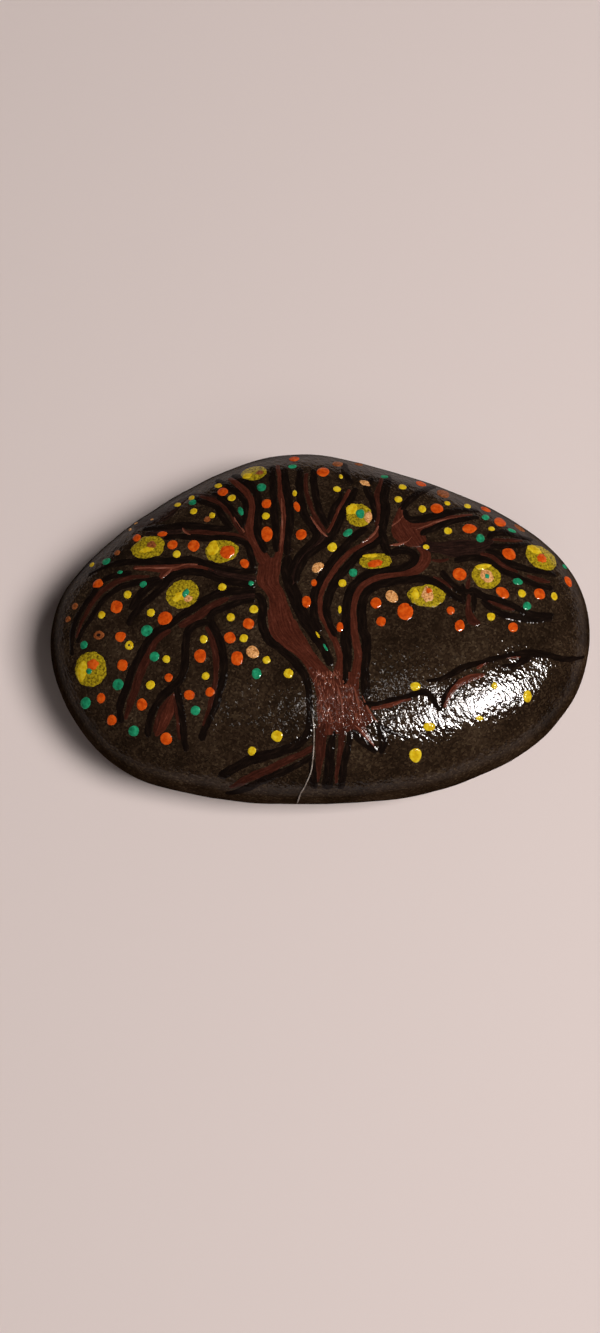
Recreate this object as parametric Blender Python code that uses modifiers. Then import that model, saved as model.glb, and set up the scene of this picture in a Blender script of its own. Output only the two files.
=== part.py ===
"""A river pebble with a tree of life painted on its upper face.

The stone is one body. Each stroke of bark paint, each outline stroke, each blossom and each of the largest
dots is a thin film of its own that follows the stone. Metres, +Z up, painted face up; the origin is in the
resting face, under the centre that the plan radii are measured from. +X runs to the stone's right end.
"""

import math

import bmesh
import bpy
import numpy as np

MM = 0.001

# The stone, in millimetres
PLAN_RADII = (
    46.0, 43.8, 38.6, 34.0, 31.3, 30.5, 31.2, 32.2, 32.8, 34.3, 37.5, 42.4,
    46.2, 45.4, 42.6, 37.7, 33.2, 30.7, 29.6, 30.2, 32.3, 35.9, 40.6, 44.6,
)  # every 15 degrees, counter-clockwise from +X
WAIST = 10.5  # height of the widest line above the resting face
CROWN = 13.5  # rise from the waist to the top
BELLY = 11.3  # drop from the waist to where the underside would end, had wear not flattened it
FULLNESS = 2.6  # exponent of the side profile: 2 is an ellipse, more is fuller
STONE_SIDES = 52
STONE_RINGS = 28

# The paint, in millimetres
FILM = 0.25  # thickness of a stroke
GAP = 0.3  # clearance under every film
SIDE_GAP = 0.15  # clearance between neighbouring films
STATION = 1.7  # length of one stretch of a stroke
SAMPLE = 0.25  # spacing of the points that clearances are measured from
NARROWEST = 0.15  # half width below which a stroke ends
RIM_LIMIT = 0.965  # share of the plan radius that paint reaches
DOME = 0.32  # thickness of a blossom or dot at its middle
SHRINK = 0.98  # step by which a blossom or dot shrinks to fit

# Each outline stroke: its width, then the points it passes, x and y in millimetres
OUTLINES = {
    "ink_trunk_left": (1.2, [(-10.3, 2.7), (-9.5, 0.8), (-9.8, -1), (-9.4, -2.8), (-8.5, -4.4), (-7, -5.7),
                             (-5.4, -7), (-4, -8.4), (-3, -10), (-2.2, -12), (-2, -14.5), (-2, -17), (-2.2, -19)]),
    "ink_trunk_right": (1.5, [(-5.6, 8.4), (-5.6, 5.2), (-4.6, 3), (-4, 1.2), (-3, -0.9), (-1.8, -2.9), (-0.5, -5),
                              (0.8, -7.3), (1.3, -8.4)]),
    "ink_root_left_upper": (1.5, [(-2.9, -20.6), (-4.6, -21.5), (-7, -22.5), (-9.5, -23.2), (-12, -24),
                                  (-14.5, -25.1), (-16.3, -26)]),
    "ink_root_left_lower": (0.9, [(-1.9, -23.2), (-4, -24.3), (-6.5, -25.4), (-9, -26.3), (-12, -27.6)]),
    "ink_ground": (1.3, [(7.4, -14.9), (9.5, -14.7), (12, -13.9), (14.5, -13.2), (17, -12.4), (19, -11.3),
                         (21.5, -10.4), (24, -9.5), (27, -8.6), (30, -8), (33.5, -7.4), (37, -7.1), (40.5, -6.6),
                         (43.5, -5.9)]),
    "ink_bough_upper": (1.1, [(-11.2, 7.1), (-13.5, 7.1), (-16, 7.6), (-18.5, 8.4), (-21.7, 9.2), (-25, 9.2),
                              (-28.5, 9.5), (-32, 9.6), (-35, 9.4), (-37.5, 8.8)]),
    "ink_bough_lower": (1.1, [(-11.6, 4.8), (-14, 5.1), (-16.5, 5.8), (-19, 6.8), (-21.7, 7.3), (-23.7, 7),
                              (-25.2, 6), (-26.6, 4.4), (-28.2, 2.8), (-30, 1.1), (-31.6, -1)]),
    "ink_outer_upper": (1.0, [(-32, 7.4), (-34.6, 7.2), (-36.6, 6.3), (-38.2, 4.4), (-39.6, 2.3), (-40.8, 0.3),
                              (-41.4, -2), (-41.5, -4.5)]),
    "ink_outer_lower": (0.9, [(-27.6, 6.1), (-30, 5.8), (-32, 5.4), (-33.5, 5), (-35, 3.9), (-36.7, 2.2), (-38.2, 0),
                              (-39.5, -2)]),
    "ink_droop_outer": (1.1, [(-11.6, 3.6), (-14, 3.7), (-16, 3.5), (-18, 2.8), (-19.5, 2.1), (-21, 0.9),
                              (-23, -0.5), (-25, -1.7), (-27, -2.8), (-28.3, -4.2), (-29.4, -6), (-30.4, -8),
                              (-31.3, -10), (-32, -12.2), (-32.7, -14), (-32.9, -16)]),
    "ink_droop_inner": (1.1, [(-12, 2.1), (-14, 1.6), (-16.3, 0.8), (-17.8, 0.1), (-18, -1.3), (-17.2, -3.3),
                              (-16.3, -5.6), (-15.9, -8), (-16, -10.4), (-16.5, -12.6), (-17.2, -14.8),
                              (-18.2, -17), (-19.2, -19.3)]),
    "ink_droop_middle": (1.1, [(-20.6, -1.9), (-21.7, -2.9), (-22.1, -4.6), (-22.2, -7), (-22.5, -9.5),
                               (-23.4, -11.3), (-24.8, -12.4), (-26.3, -13.8), (-27.5, -16), (-28.2, -18.4)]),
    "ink_high_left": (1.3, [(-15.2, 14.7), (-17, 14.7), (-19.2, 15.1), (-21.3, 15.4), (-24, 15.8), (-27, 15.6)]),
    "ink_main_right": (1.3, [(-9.5, 10.6), (-10.3, 12.3), (-10.8, 14.4), (-10.7, 17), (-10.6, 19), (-11.1, 21.2),
                             (-12.2, 23.1), (-13.6, 24.5)]),
    "ink_centre_left": (1.0, [(-7.5, 10.8), (-7.6, 12.8), (-7.8, 15.3), (-7.9, 18.3), (-8.1, 21.5), (-8.2, 24.5),
                              (-8.3, 27)]),
    "ink_centre_right": (1.1, [(-5.8, 10.3), (-5.6, 12.8), (-5.4, 15.3), (-5.4, 17.8), (-5.7, 20.5), (-6, 23.3),
                               (-6.3, 26.3)]),
    "ink_vee_left": (1.2, [(-4.6, 8), (-3.2, 10.2), (-1.7, 11.8), (-0.9, 13.2), (-1.5, 15), (-2.8, 17), (-3.3, 19),
                           (-3.6, 21.5), (-3.7, 24), (-3.6, 26.5)]),
    "ink_vee_right": (1.2, [(-3.6, 7.4), (-2.3, 9.8), (-0.9, 11), (0.7, 12), (1.8, 13.6), (2.8, 15.6), (3.9, 18),
                            (5.1, 20.5), (5.9, 22.3)]),
    "ink_rise_left": (1.2, [(-0.5, -3), (-1.3, -0.8), (-1.4, 1.5), (-1.1, 3.4), (-0.4, 5.3), (0.8, 7.4), (2.1, 9.3),
                            (3.5, 11), (4.7, 12.4), (6, 13.6), (7.3, 14.4)]),
    "ink_rise_right": (1.1, [(2.1, -3.6), (1, -1.5), (0.7, 0.6), (1, 2.7), (1.8, 4.8), (3.2, 6.8), (4.6, 8.5),
                             (5.7, 9.9), (7.2, 11.1), (8.6, 12.1)]),
    "ink_stem_left": (1.2, [(3.7, -11), (3.9, -8.5), (4, -6), (3.9, -3.5), (3.9, -1), (4.1, 1.3), (4.6, 3.5),
                            (5.7, 5.3), (7.3, 6.5), (9.5, 7.2), (11.7, 7.3), (13.6, 7.8), (15.1, 8.8)]),
    "ink_stem_right": (1.3, [(6.9, -13), (6.9, -10.5), (7, -8), (7, -5.5), (6.7, -3), (6.4, -0.4), (6.6, 1.7),
                             (7.3, 3.4), (8.9, 4.6), (11.1, 5.2), (13.9, 5.5), (16.2, 5.8), (18, 5.4),
                             (19.7, 4.3), (21.3, 3.3), (23.2, 2.5)]),
    "ink_block_left": (1.4, [(10.7, 10.6), (10.1, 12), (9.9, 14), (10.2, 16.2), (10.5, 18.4), (10.4, 20.6),
                             (10.8, 23), (11.2, 24.8)]),
    "ink_right_middle": (1.1, [(27.2, 11.3), (29.1, 10.8), (30.9, 9.4), (32.8, 8.6), (35, 8.3), (37.4, 8.2),
                               (39, 7.8)]),
}

# Each bark stroke: the points it passes, x, y and half width in millimetres
BARK = {
    "trunk": [(-9.4, 8.6, 1.2), (-8.6, 6.6, 1.9), (-7.5, 4.2, 1.8), (-6.8, 1.6, 1.7), (-6.5, -0.8, 2.2),
              (-5.3, -3.3, 2.2), (-3.6, -5.6, 1.9), (-1.8, -7.9, 1.7), (-0.2, -10, 1.9), (1.3, -12, 2.8),
              (2.3, -14.2, 3.6), (2.7, -16.4, 3.8), (2.9, -18.3, 3.4)],
    "limb_main": [(-10, 10, 0.8), (-11, 11.8, 0.8), (-11.8, 13.8, 0.7), (-11.8, 16, 0.6), (-11.6, 18.5, 0.6),
                  (-12, 20.8, 0.6), (-13.2, 22.7, 0.5), (-14.4, 23.9, 0.4)],
    "limb_high_left": [(-13.2, 13.3, 0.4), (-15, 13.9, 0.4), (-17, 14, 0.4), (-19, 14.3, 0.4), (-21.5, 14.5, 0.5),
                       (-23.5, 14.6, 0.5), (-25.4, 14.7, 0.3)],
    "limb_centre": [(-6.8, 10.6, 0.4), (-6.6, 12.8, 0.4), (-6.4, 15, 0.5), (-6.4, 17.5, 0.5), (-6.7, 20, 0.4),
                    (-7, 23, 0.4), (-7.2, 26.2, 0.3)],
    "limb_bough": [(-11.8, 5.9, 0.6), (-14.5, 6.1, 0.5), (-17, 6.9, 0.5), (-19.5, 7.9, 0.5), (-22, 8.4, 0.6),
                   (-24.5, 8.2, 0.8), (-27, 7.9, 0.9), (-29.3, 8.1, 0.6), (-31, 8.6, 0.3)],
    "limb_outer": [(-29.8, 6.8, 0.3), (-32.5, 6.5, 0.5), (-35, 5.6, 0.6), (-36.8, 4, 0.6), (-38.3, 2, 0.5),
                   (-39.6, -0.4, 0.5), (-40.4, -2.6, 0.4)],
    "limb_middle": [(-11.6, 2.8, 0.5), (-14, 2.6, 0.5), (-16.5, 2, 0.6), (-18.3, 0.9, 0.8), (-20, -0.7, 0.9),
                    (-21.6, -1.6, 0.4)],
    "limb_droop_outer": [(-27.2, -4.5, 0.3), (-28.4, -6.4, 0.6), (-29.4, -8.6, 0.7), (-30.2, -10.9, 0.7),
                         (-31, -13.2, 0.7), (-31.7, -15.5, 0.5), (-32, -17.4, 0.3)],
    "limb_droop_middle": [(-24.4, -13.6, 0.3), (-25.3, -15.2, 0.7), (-26.2, -17, 0.8), (-26.9, -18.9, 0.6)],
    "limb_droop_inner": [(-18.8, -2, 0.4), (-18.1, -3.9, 0.6), (-17.5, -6, 0.7), (-17.2, -8.2, 0.6),
                         (-17.3, -10.4, 0.5)],
    "limb_vee_left": [(0.1, 13.8, 0.7), (-0.6, 15.6, 0.5), (-1.6, 17.6, 0.5), (-2.2, 19.6, 0.5), (-2.5, 22, 0.5),
                      (-2.5, 24.6, 0.3)],
    "limb_vee_right": [(1.6, 15.2, 0.3), (2.4, 17.2, 0.4), (3.3, 19.2, 0.5), (4.3, 21.2, 0.5), (4.7, 22.6, 0.3)],
    "limb_rise": [(1.9, -5.6, 0.5), (1, -4, 0.4), (0.1, -2, 0.4), (-0.4, 0.2, 0.4), (-0.2, 2.6, 0.4),
                  (0.7, 5, 0.5), (2, 7.2, 0.5), (3.5, 9.2, 0.5), (4.9, 10.9, 0.5), (6.5, 12.2, 0.4)],
    "limb_stem": [(5.3, -11.6, 0.6), (5.5, -9, 0.6), (5.6, -6.4, 0.6), (5.4, -3.6, 0.6), (5.1, -1, 0.6),
                  (5.2, 1.5, 0.6), (5.9, 3.7, 0.6), (7.3, 5.1, 0.6), (9.6, 6, 0.6), (12, 6.4, 0.6),
                  (14.4, 6.8, 0.7), (16.5, 7.7, 1.0), (17.2, 9.4, 1.1), (16.8, 11.2, 1.1)],
    "limb_block": [(15.3, 11.9, 1.0), (14.2, 13.2, 2.0), (13.4, 14.7, 1.9), (12.9, 16.4, 1.0), (13.2, 18, 0.3)],
    "limb_upper_right": [(16.3, 15.3, 0.8), (18.4, 16, 0.6), (20.6, 16.9, 0.4), (23, 17.7, 0.3)],
    "root_left": [(-2.6, -22, 0.5), (-5, -23.1, 0.5), (-7.5, -24.2, 0.5), (-10, -25.2, 0.6), (-12.5, -26.2, 0.7),
                  (-14.5, -27, 0.4)],
    "root_down_left": [(-0.2, -20.3, 1.0), (-0.3, -22, 0.8), (-0.5, -24, 0.6), (-0.7, -26, 0.4)],
    "root_down_right": [(3.3, -20.4, 0.5), (2.8, -22.4, 0.5), (2.5, -24.4, 0.5), (2.3, -26.4, 0.4)],
    "root_right": [(9.2, -16.4, 0.7), (12, -15.4, 0.6), (15, -14.7, 0.6), (18, -13.7, 0.9), (20.5, -12.5, 1.1),
                   (23, -11.4, 1.1), (26, -10.4, 0.8), (29, -9.5, 0.6)],
}

# Each blossom: x, y, half length, half width in millimetres, and its turn in degrees
BLOSSOMS = {
    "blossom_far_left": (-38.0, -8.4, 2.9, 2.8, 0),
    "blossom_left_high": (-28.9, 12.1, 2.9, 2.2, 10),
    "blossom_left_middle": (-22.8, 3.4, 2.8, 2.5, 15),
    "blossom_left_inner": (-16.5, 10.8, 2.8, 2.1, 8),
    "blossom_top_left": (-11.5, 25.9, 2.2, 1.7, 12),
    "blossom_top_right": (6.2, 17.0, 2.4, 2.2, 20),
    "blossom_centre_right": (8.9, 8.8, 2.7, 1.4, 5),
    "blossom_low_right": (17.2, 2.9, 3.2, 1.9, 0),
    "blossom_right": (27.0, 6.7, 2.5, 2.3, 0),
    "blossom_far_right": (37.0, 11.0, 2.8, 2.4, -20),
}

# The largest dots: x, y, half length, half width in millimetres, and which paint
DOTS = {
    "dot_orange_right": (13.5, 0.2, 1.35, 1.45, "orange_paint"),
    "dot_orange_left": (-25.6, -0.7, 1.25, 1.25, "orange_paint"),
    "dot_yellow_left": (-7.3, -19.9, 0.95, 0.9, "yellow_paint"),
    "dot_green_left": (-20.5, -15.8, 0.8, 0.8, "green_paint"),
    "dot_peach_right": (11.3, 2.8, 1.0, 1.1, "peach_paint"),
}

# Each finish: colour as linear red, green and blue, and roughness
FINISHES = {
    "river_stone": ((0.036, 0.024, 0.014), 0.35),
    "bark_paint": ((0.055, 0.018, 0.010), 0.35),
    "ink_outline": ((0.009, 0.006, 0.005), 0.3),
    "blossom_paint": ((0.42, 0.32, 0.02), 0.35),
    "orange_paint": ((0.60, 0.09, 0.01), 0.35),
    "yellow_paint": ((0.70, 0.47, 0.02), 0.35),
    "green_paint": ((0.015, 0.21, 0.09), 0.35),
    "peach_paint": ((0.60, 0.26, 0.09), 0.35),
}


def clear_scene():
    for old in list(bpy.data.objects):
        bpy.data.objects.remove(old, do_unlink=True)


def make_finishes():
    """One varnished Principled material for each finish, by name."""
    made = {}
    for name, (colour, roughness) in FINISHES.items():
        material = bpy.data.materials.new(name)
        material.use_nodes = True
        shader = material.node_tree.nodes["Principled BSDF"]
        shader.inputs["Base Color"].default_value = (*colour, 1)
        shader.inputs["Roughness"].default_value = roughness
        shader.inputs["Metallic"].default_value = 0
        shader.inputs["Coat Weight"].default_value = 1
        made[name] = material
    return made


def plan_radius(angle):
    """Plan radius at an angle: the smoothest periodic curve through the listed radii."""
    count = len(PLAN_RADII)
    waves = np.fft.rfft(PLAN_RADII) / count
    order = np.arange(len(waves))
    weight = np.where((order == 0) | (order == count // 2), 1, 2)
    return np.real(weight * waves * np.exp(1j * np.multiply.outer(angle, order))).sum(axis=-1)


def upper_height(x, y):
    """Height of the upper face over a plan point: a superellipse from the waist to the crown."""
    share = np.hypot(x, y) / plan_radius(np.arctan2(y, x))
    return WAIST + CROWN * np.maximum(1 - share**FULLNESS, 0) ** (1 / FULLNESS)


def upper_normal(x, y):
    """Unit normal of the upper face, from its slope over a hundredth of a millimetre."""
    step = 0.01
    slope_x = (upper_height(x + step, y) - upper_height(x - step, y)) / (2 * step)
    slope_y = (upper_height(x, y + step) - upper_height(x, y - step)) / (2 * step)
    normal = np.stack([-slope_x, -slope_y, np.ones_like(slope_x)], axis=-1)
    return normal / np.linalg.norm(normal, axis=-1, keepdims=True)


def above_stone(x, y, lift):
    """Points a lift above the upper face, in metres. Points past the paint's limit are drawn in to it."""
    share = np.hypot(x, y) / plan_radius(np.arctan2(y, x))
    draw_in = np.minimum(1, RIM_LIMIT / np.maximum(share, 1e-6))
    x, y = x * draw_in, y * draw_in
    foot = np.stack([x, y, upper_height(x, y)], axis=-1)
    return (foot + upper_normal(x, y) * np.asarray(lift)[..., None]) * MM


def add_object(name, shape, material, collection):
    """A smooth-shaded object from a bmesh, in its own named node."""
    mesh = bpy.data.meshes.new(name)
    shape.to_mesh(mesh)
    shape.free()
    mesh.shade_smooth()
    mesh.materials.append(material)
    made = bpy.data.objects.new(name, mesh)
    collection.objects.link(made)
    return made


def make_stone(material, collection):
    """A sphere whose rings follow the side profile and whose meridians follow the plan."""
    shape = bmesh.new()
    bmesh.ops.create_uvsphere(shape, u_segments=STONE_SIDES, v_segments=STONE_RINGS, radius=1)
    for vert in shape.verts:
        sine = math.hypot(vert.co.x, vert.co.y)
        cosine = vert.co.z
        angle = math.atan2(vert.co.y, vert.co.x)
        reach = float(plan_radius(angle)) * sine ** (2 / FULLNESS)
        rise = (CROWN if cosine > 0 else -BELLY) * abs(cosine) ** (2 / FULLNESS)
        height = max(WAIST + rise, 0)
        vert.co = (reach * math.cos(angle) * MM, reach * math.sin(angle) * MM, height * MM)
    return add_object("pebble", shape, material, collection)


def smooth_route(points):
    """A Catmull-Rom curve through the points, sampled evenly: x, y and half width along it."""
    points = np.array(points, float)
    ends = np.vstack([2 * points[0] - points[1], points, 2 * points[-1] - points[-2]])
    t = np.linspace(0, 1, 40, endpoint=False)[:, None]
    parts = []
    for p0, p1, p2, p3 in zip(ends, ends[1:], ends[2:], ends[3:]):
        bend = (2 * p0 - 5 * p1 + 4 * p2 - p3) * t**2 + (3 * p1 - p0 - 3 * p2 + p3) * t**3
        parts.append(0.5 * (2 * p1 + (p2 - p0) * t + bend))
    curve = np.vstack([*parts, points[-1:]])
    run = np.concatenate([[0], np.cumsum(np.hypot(*np.diff(curve[:, :2], axis=0).T))])
    even = np.linspace(0, run[-1], max(int(run[-1] / SAMPLE), 8))
    return np.stack([np.interp(even, run, curve[:, i]) for i in range(3)], axis=-1)


def room_beside(samples, laid):
    """How wide a film may be at each sample and still keep its gap to the films laid before."""
    if not laid:
        return np.full(len(samples), np.inf)
    others = np.vstack(laid)
    apart = np.linalg.norm(samples[:, None, :2] - others[None, :, :2], axis=-1)
    return (apart - others[:, 2]).min(axis=1) - SIDE_GAP


def longest_run(fits):
    """Start and end of the longest unbroken stretch of true values."""
    edges = np.flatnonzero(np.diff(np.concatenate([[0], fits.astype(int), [0]])))
    starts, ends = edges[::2], edges[1::2]
    best = np.argmax(ends - starts)
    return starts[best], ends[best]


def make_stroke(name, points, material, laid, collection):
    """A brush stroke: a strip along its route, kept clear of the strokes laid before it, with a wall."""
    samples = smooth_route(points)
    samples[:, 2] = np.minimum(samples[:, 2], room_beside(samples, laid))
    start, end = longest_run(samples[:, 2] >= NARROWEST)
    samples = samples[start:end]
    laid.append(samples)
    along = max(int(len(samples) * SAMPLE / STATION), 3)
    across = 4 if samples[:, 2].max() > 1.5 else 2
    picks = np.linspace(0, len(samples) - 1, along + 1)
    x, y, half = (np.interp(picks, np.arange(len(samples)), samples[:, i]) for i in range(3))
    half[0] *= 0.6
    half[-1] *= 0.6
    heading = np.arctan2(np.gradient(y), np.gradient(x))
    shape = bmesh.new()
    bmesh.ops.create_grid(shape, x_segments=along, y_segments=across, size=1)
    for vert in shape.verts:
        i = round((vert.co.x + 1) / 2 * along)
        side = vert.co.y * half[i]
        vert.co = above_stone(x[i] - side * np.sin(heading[i]), y[i] + side * np.cos(heading[i]), GAP)
    made = add_object(name, shape, material, collection)
    wall = made.modifiers.new("film", "SOLIDIFY")
    wall.thickness = FILM * MM
    wall.offset = 1
    wall.use_even_offset = True
    return made


def make_daub(name, place, half_length, half_width, turn, material, laid, collection):
    """A low dome of paint set on the stone, shrunk until its edge keeps clear of the films laid before."""
    turn = math.radians(turn)
    turned = np.array([[math.cos(turn), math.sin(turn)], [-math.sin(turn), math.cos(turn)]])
    around = np.linspace(0, 2 * np.pi, 48, endpoint=False)
    edge = np.stack([half_length * np.cos(around), half_width * np.sin(around)], axis=-1) @ turned
    size = 1.0
    while room_beside(place + edge * size, laid).min() < 0:
        size *= SHRINK
    laid.append(np.column_stack([place + edge * size, np.zeros(len(edge))]))
    shape = bmesh.new()
    bmesh.ops.create_uvsphere(shape, u_segments=14, v_segments=5, radius=1)
    for vert in shape.verts:
        x, y = place + np.array([vert.co.x * half_length, vert.co.y * half_width]) @ turned * size
        vert.co = above_stone(x, y, GAP + DOME / 2 * (1 + vert.co.z))
    return add_object(name, shape, material, collection)


def main():
    clear_scene()
    collection = bpy.data.collections.new("painted_pebble_tree_of_life")
    bpy.context.scene.collection.children.link(collection)
    finishes = make_finishes()
    make_stone(finishes["river_stone"], collection)
    laid = []
    for name, points in BARK.items():
        make_stroke(name, points, finishes["bark_paint"], laid, collection)
    for name, (width, points) in OUTLINES.items():
        route = [(x, y, width / 2) for x, y in points]
        make_stroke(name, route, finishes["ink_outline"], laid, collection)
    for name, (x, y, half_length, half_width, turn) in BLOSSOMS.items():
        make_daub(name, (x, y), half_length, half_width, turn, finishes["blossom_paint"], laid, collection)
    for name, (x, y, half_length, half_width, paint) in DOTS.items():
        make_daub(name, (x, y), half_length, half_width, 0, finishes[paint], laid, collection)


main()
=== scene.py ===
# A water-worn river pebble, hand painted with a tree of life and sealed under clear gloss varnish.
# All working lengths are millimetres; they become metres when a mesh is made.
import math

import bpy
import numpy as np
from mathutils import Matrix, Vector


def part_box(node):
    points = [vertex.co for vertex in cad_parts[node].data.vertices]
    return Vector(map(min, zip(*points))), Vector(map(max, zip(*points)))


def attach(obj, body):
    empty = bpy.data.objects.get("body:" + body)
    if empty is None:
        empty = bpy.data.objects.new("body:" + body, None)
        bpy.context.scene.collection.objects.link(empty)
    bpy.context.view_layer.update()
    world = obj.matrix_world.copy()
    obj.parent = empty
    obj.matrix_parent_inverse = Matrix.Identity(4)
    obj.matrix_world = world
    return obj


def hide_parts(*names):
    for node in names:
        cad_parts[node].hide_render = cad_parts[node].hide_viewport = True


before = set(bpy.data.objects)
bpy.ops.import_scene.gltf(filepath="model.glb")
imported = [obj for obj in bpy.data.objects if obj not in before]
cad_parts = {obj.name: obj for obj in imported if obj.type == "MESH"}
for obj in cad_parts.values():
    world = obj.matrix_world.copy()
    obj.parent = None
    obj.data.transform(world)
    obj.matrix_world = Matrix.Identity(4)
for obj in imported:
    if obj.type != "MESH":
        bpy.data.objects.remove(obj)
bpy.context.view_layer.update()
print("frame loaded:", len(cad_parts), "solids")

millimetre = 0.001

stone = {
    "rimRadii": (
        46.0, 43.8, 38.6, 34.0, 31.3, 30.5, 31.2, 32.2, 32.8, 34.3, 37.5, 42.4,
        46.2, 45.4, 42.6, 37.7, 33.2, 30.7, 29.6, 30.2, 32.3, 35.9, 40.6, 44.6,
    ),  # from the middle to the rim, every 15 degrees from +X
    "waist": 10.5,  # height of the widest line
    "belly": 11.3,  # drop from the waist to where the underside would end, had it not worn flat
    "fullness": 2.6,  # exponent of the side profile: 2 is an ellipse
    "around": 400,
    "down": 190,
    "swells": ((26.0, 0.16), (14.0, 0.09), (8.0, 0.045), (4.5, 0.018)),  # length and height of each
    "footEdge": 0.35,  # how gently the worn face turns up
    "normalStep": 0.02,  # over which the slope is measured
    "seed": 11,
}
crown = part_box("pebble")[1].z / millimetre - stone["waist"]
heart = np.array([0.0, 0.0, stone["waist"]])


# Rim radius at an angle: the Fourier series through the listed radii, so that the outline has no corners
def rimRadius(angle):
    radii = stone["rimRadii"]
    waves = np.fft.rfft(radii) / len(radii)
    order = np.arange(len(waves))
    weight = np.where((order == 0) | (order == len(radii) // 2), 1, 2)
    return np.real(np.exp(1j * np.multiply.outer(angle, order)) @ (weight * waves))


# Superellipse sum at a point: (r / rim)^n + (|h| / rise)^n, which is 1 on the surface and less inside
def surfaceSum(points):
    height = points[..., 2] - stone["waist"]
    reach = np.hypot(points[..., 0], points[..., 1]) / rimRadius(np.arctan2(points[..., 1], points[..., 0]))
    rise = np.abs(height) / np.where(height > 0, crown, stone["belly"])
    return reach ** stone["fullness"] + rise ** stone["fullness"]


# Moves points along lines from the stone's heart until the superellipse sum is 1
def ontoStone(points):
    return heart + (points - heart) * (surfaceSum(points) ** (-1 / stone["fullness"]))[..., None]


# Unit normal: the gradient of the superellipse sum, from differences over a small step either way
def outward(points):
    step = stone["normalStep"]
    slopes = [surfaceSum(points + step * axis) - surfaceSum(points - step * axis) for axis in np.eye(3)]
    gradient = np.stack(slopes, axis=-1)
    return gradient / np.linalg.norm(gradient, axis=-1, keepdims=True)


# Slow unevenness of a water-worn face: three plane sine waves of random heading for each listed length
def swell(points):
    dice = np.random.default_rng(stone["seed"])
    total = np.zeros(points.shape[:-1])
    for length, height in stone["swells"]:
        headings = dice.normal(size=(3, 3))
        headings /= np.linalg.norm(headings, axis=1, keepdims=True)
        phases = dice.uniform(0, 2 * np.pi, 3)
        total += height / 3 * np.sin(points @ headings.T * (2 * np.pi / length) + phases).sum(axis=-1)
    return total


# Height of the upper face over a plan point: waist + crown (1 - (r / rim)^n)^(1 / n)
def overPlan(x, y):
    share = np.hypot(x, y) / rimRadius(np.arctan2(y, x))
    return stone["waist"] + crown * np.maximum(1 - share ** stone["fullness"], 0) ** (1 / stone["fullness"])


# Lifts points off the stone along its normal, over the slow unevenness
def liftOff(points, height):
    foot = ontoStone(points)
    return foot + outward(foot) * (swell(foot) + height)[..., None]


# Closes rings of points (islands, rows, columns, 3) into skins: quads from ring to ring, and a fan to one
# point (islands, 3) at each end. The faces are turned round if the volume comes out negative
def closedSkin(name, first, rings, last, uv=None):
    islands, rows, columns = rings.shape[:3]
    points = np.concatenate([first[:, None], rings.reshape(islands, -1, 3), last[:, None]], axis=1)
    here = np.arange(columns)
    beside = np.roll(here, -1)
    starts = 1 + np.arange(rows)[:, None] * columns
    above, below = starts[:-1], starts[1:]
    quads = np.stack([above + here, above + beside, below + beside, below + here], axis=-1)
    top = np.stack([np.zeros_like(here), 1 + beside, 1 + here], axis=-1)
    final = np.full_like(here, points.shape[1] - 1)
    bottom = np.stack([final, starts[-1] + here, starts[-1] + beside], axis=-1)
    offsets = np.arange(islands)[:, None, None] * points.shape[1]
    quads = (quads.reshape(1, -1, 4) + offsets).reshape(-1, 4)
    fans = (np.concatenate([top, bottom])[None] + offsets).reshape(-1, 3)
    flat = points.reshape(-1, 3)
    corners = np.concatenate([quads[:, :3], quads[:, [0, 2, 3]], fans])
    a, b, c = (flat[corners[:, i]] for i in range(3))
    if np.einsum("ij,ij->", a - flat[0], np.cross(b - flat[0], c - flat[0])) < 0:
        quads = quads[:, ::-1]
        fans = fans[:, ::-1]
    mesh = bpy.data.meshes.new(name)
    mesh.from_pydata((flat * millimetre).tolist(), [], quads.tolist() + fans.tolist())
    mesh.shade_smooth()
    if uv is not None:
        layer = mesh.uv_layers.new(name="stroke")
        loops = np.empty(len(mesh.loops), np.int32)
        mesh.loops.foreach_get("vertex_index", loops)
        layer.data.foreach_set("uv", uv.reshape(-1, 2)[loops].astype(np.float32).ravel())
    piece = bpy.data.objects.new(name, mesh)
    bpy.context.scene.collection.objects.link(piece)
    return piece


# Gives a piece its finish and its body, and hides the solids that it stands for
def handOver(piece, finish, slotName=None, *nodes):
    piece.data.materials.append(finishes[finish])
    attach(piece, "root")
    if nodes:
        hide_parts(*nodes)


otherSolids = {
    "bark_left_low": "limb_high_left",
    "bark_droop_middle_left": "limb_droop_middle",
    "bark_ground_step": "root_right",
    "outline_middle_upper": "ink_right_middle",
}


# The solids that a piece stands for: its own key behind one of the beginnings, or the one listed above
def solidsOf(name, *beginnings):
    key = name.split("_", 1)[1]
    wanted = [otherSolids.get(name), *(beginning + key for beginning in beginnings)]
    return [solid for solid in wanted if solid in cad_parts]


# sRGB hex to the linear colour of the shaders: c / 12.92 up to 0.04045, else ((c + 0.055) / 1.055)^2.4
def linearColour(code):
    channels = np.array([int(code[i:i + 2], 16) for i in (1, 3, 5)]) / 255
    linear = np.where(channels <= 0.04045, channels / 12.92, ((channels + 0.055) / 1.055) ** 2.4)
    return (*linear.tolist(), 1.0)


# Object coordinates are in metres, so this is the scale of a pattern whose features are this many millimetres
def perMm(size):
    return 1 / (size * millimetre)


# Adds a node: inputs maps a socket to a value or to the socket that feeds it, and the rest are its settings
def addNode(tree, kind, inputs=None, stops=None, **settings):
    node = tree.nodes.new("ShaderNode" + kind)
    for key, value in settings.items():
        setattr(node, key, value)
    for key, value in (inputs or {}).items():
        if isinstance(value, bpy.types.NodeSocket):
            tree.links.new(value, node.inputs[key])
        else:
            node.inputs[key].default_value = value
    for i, (position, code) in enumerate(stops or ()):
        element = node.color_ramp.elements[i] if i < 2 else node.color_ramp.elements.new(position)
        element.position = position
        element.color = linearColour(code)
    return node


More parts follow.
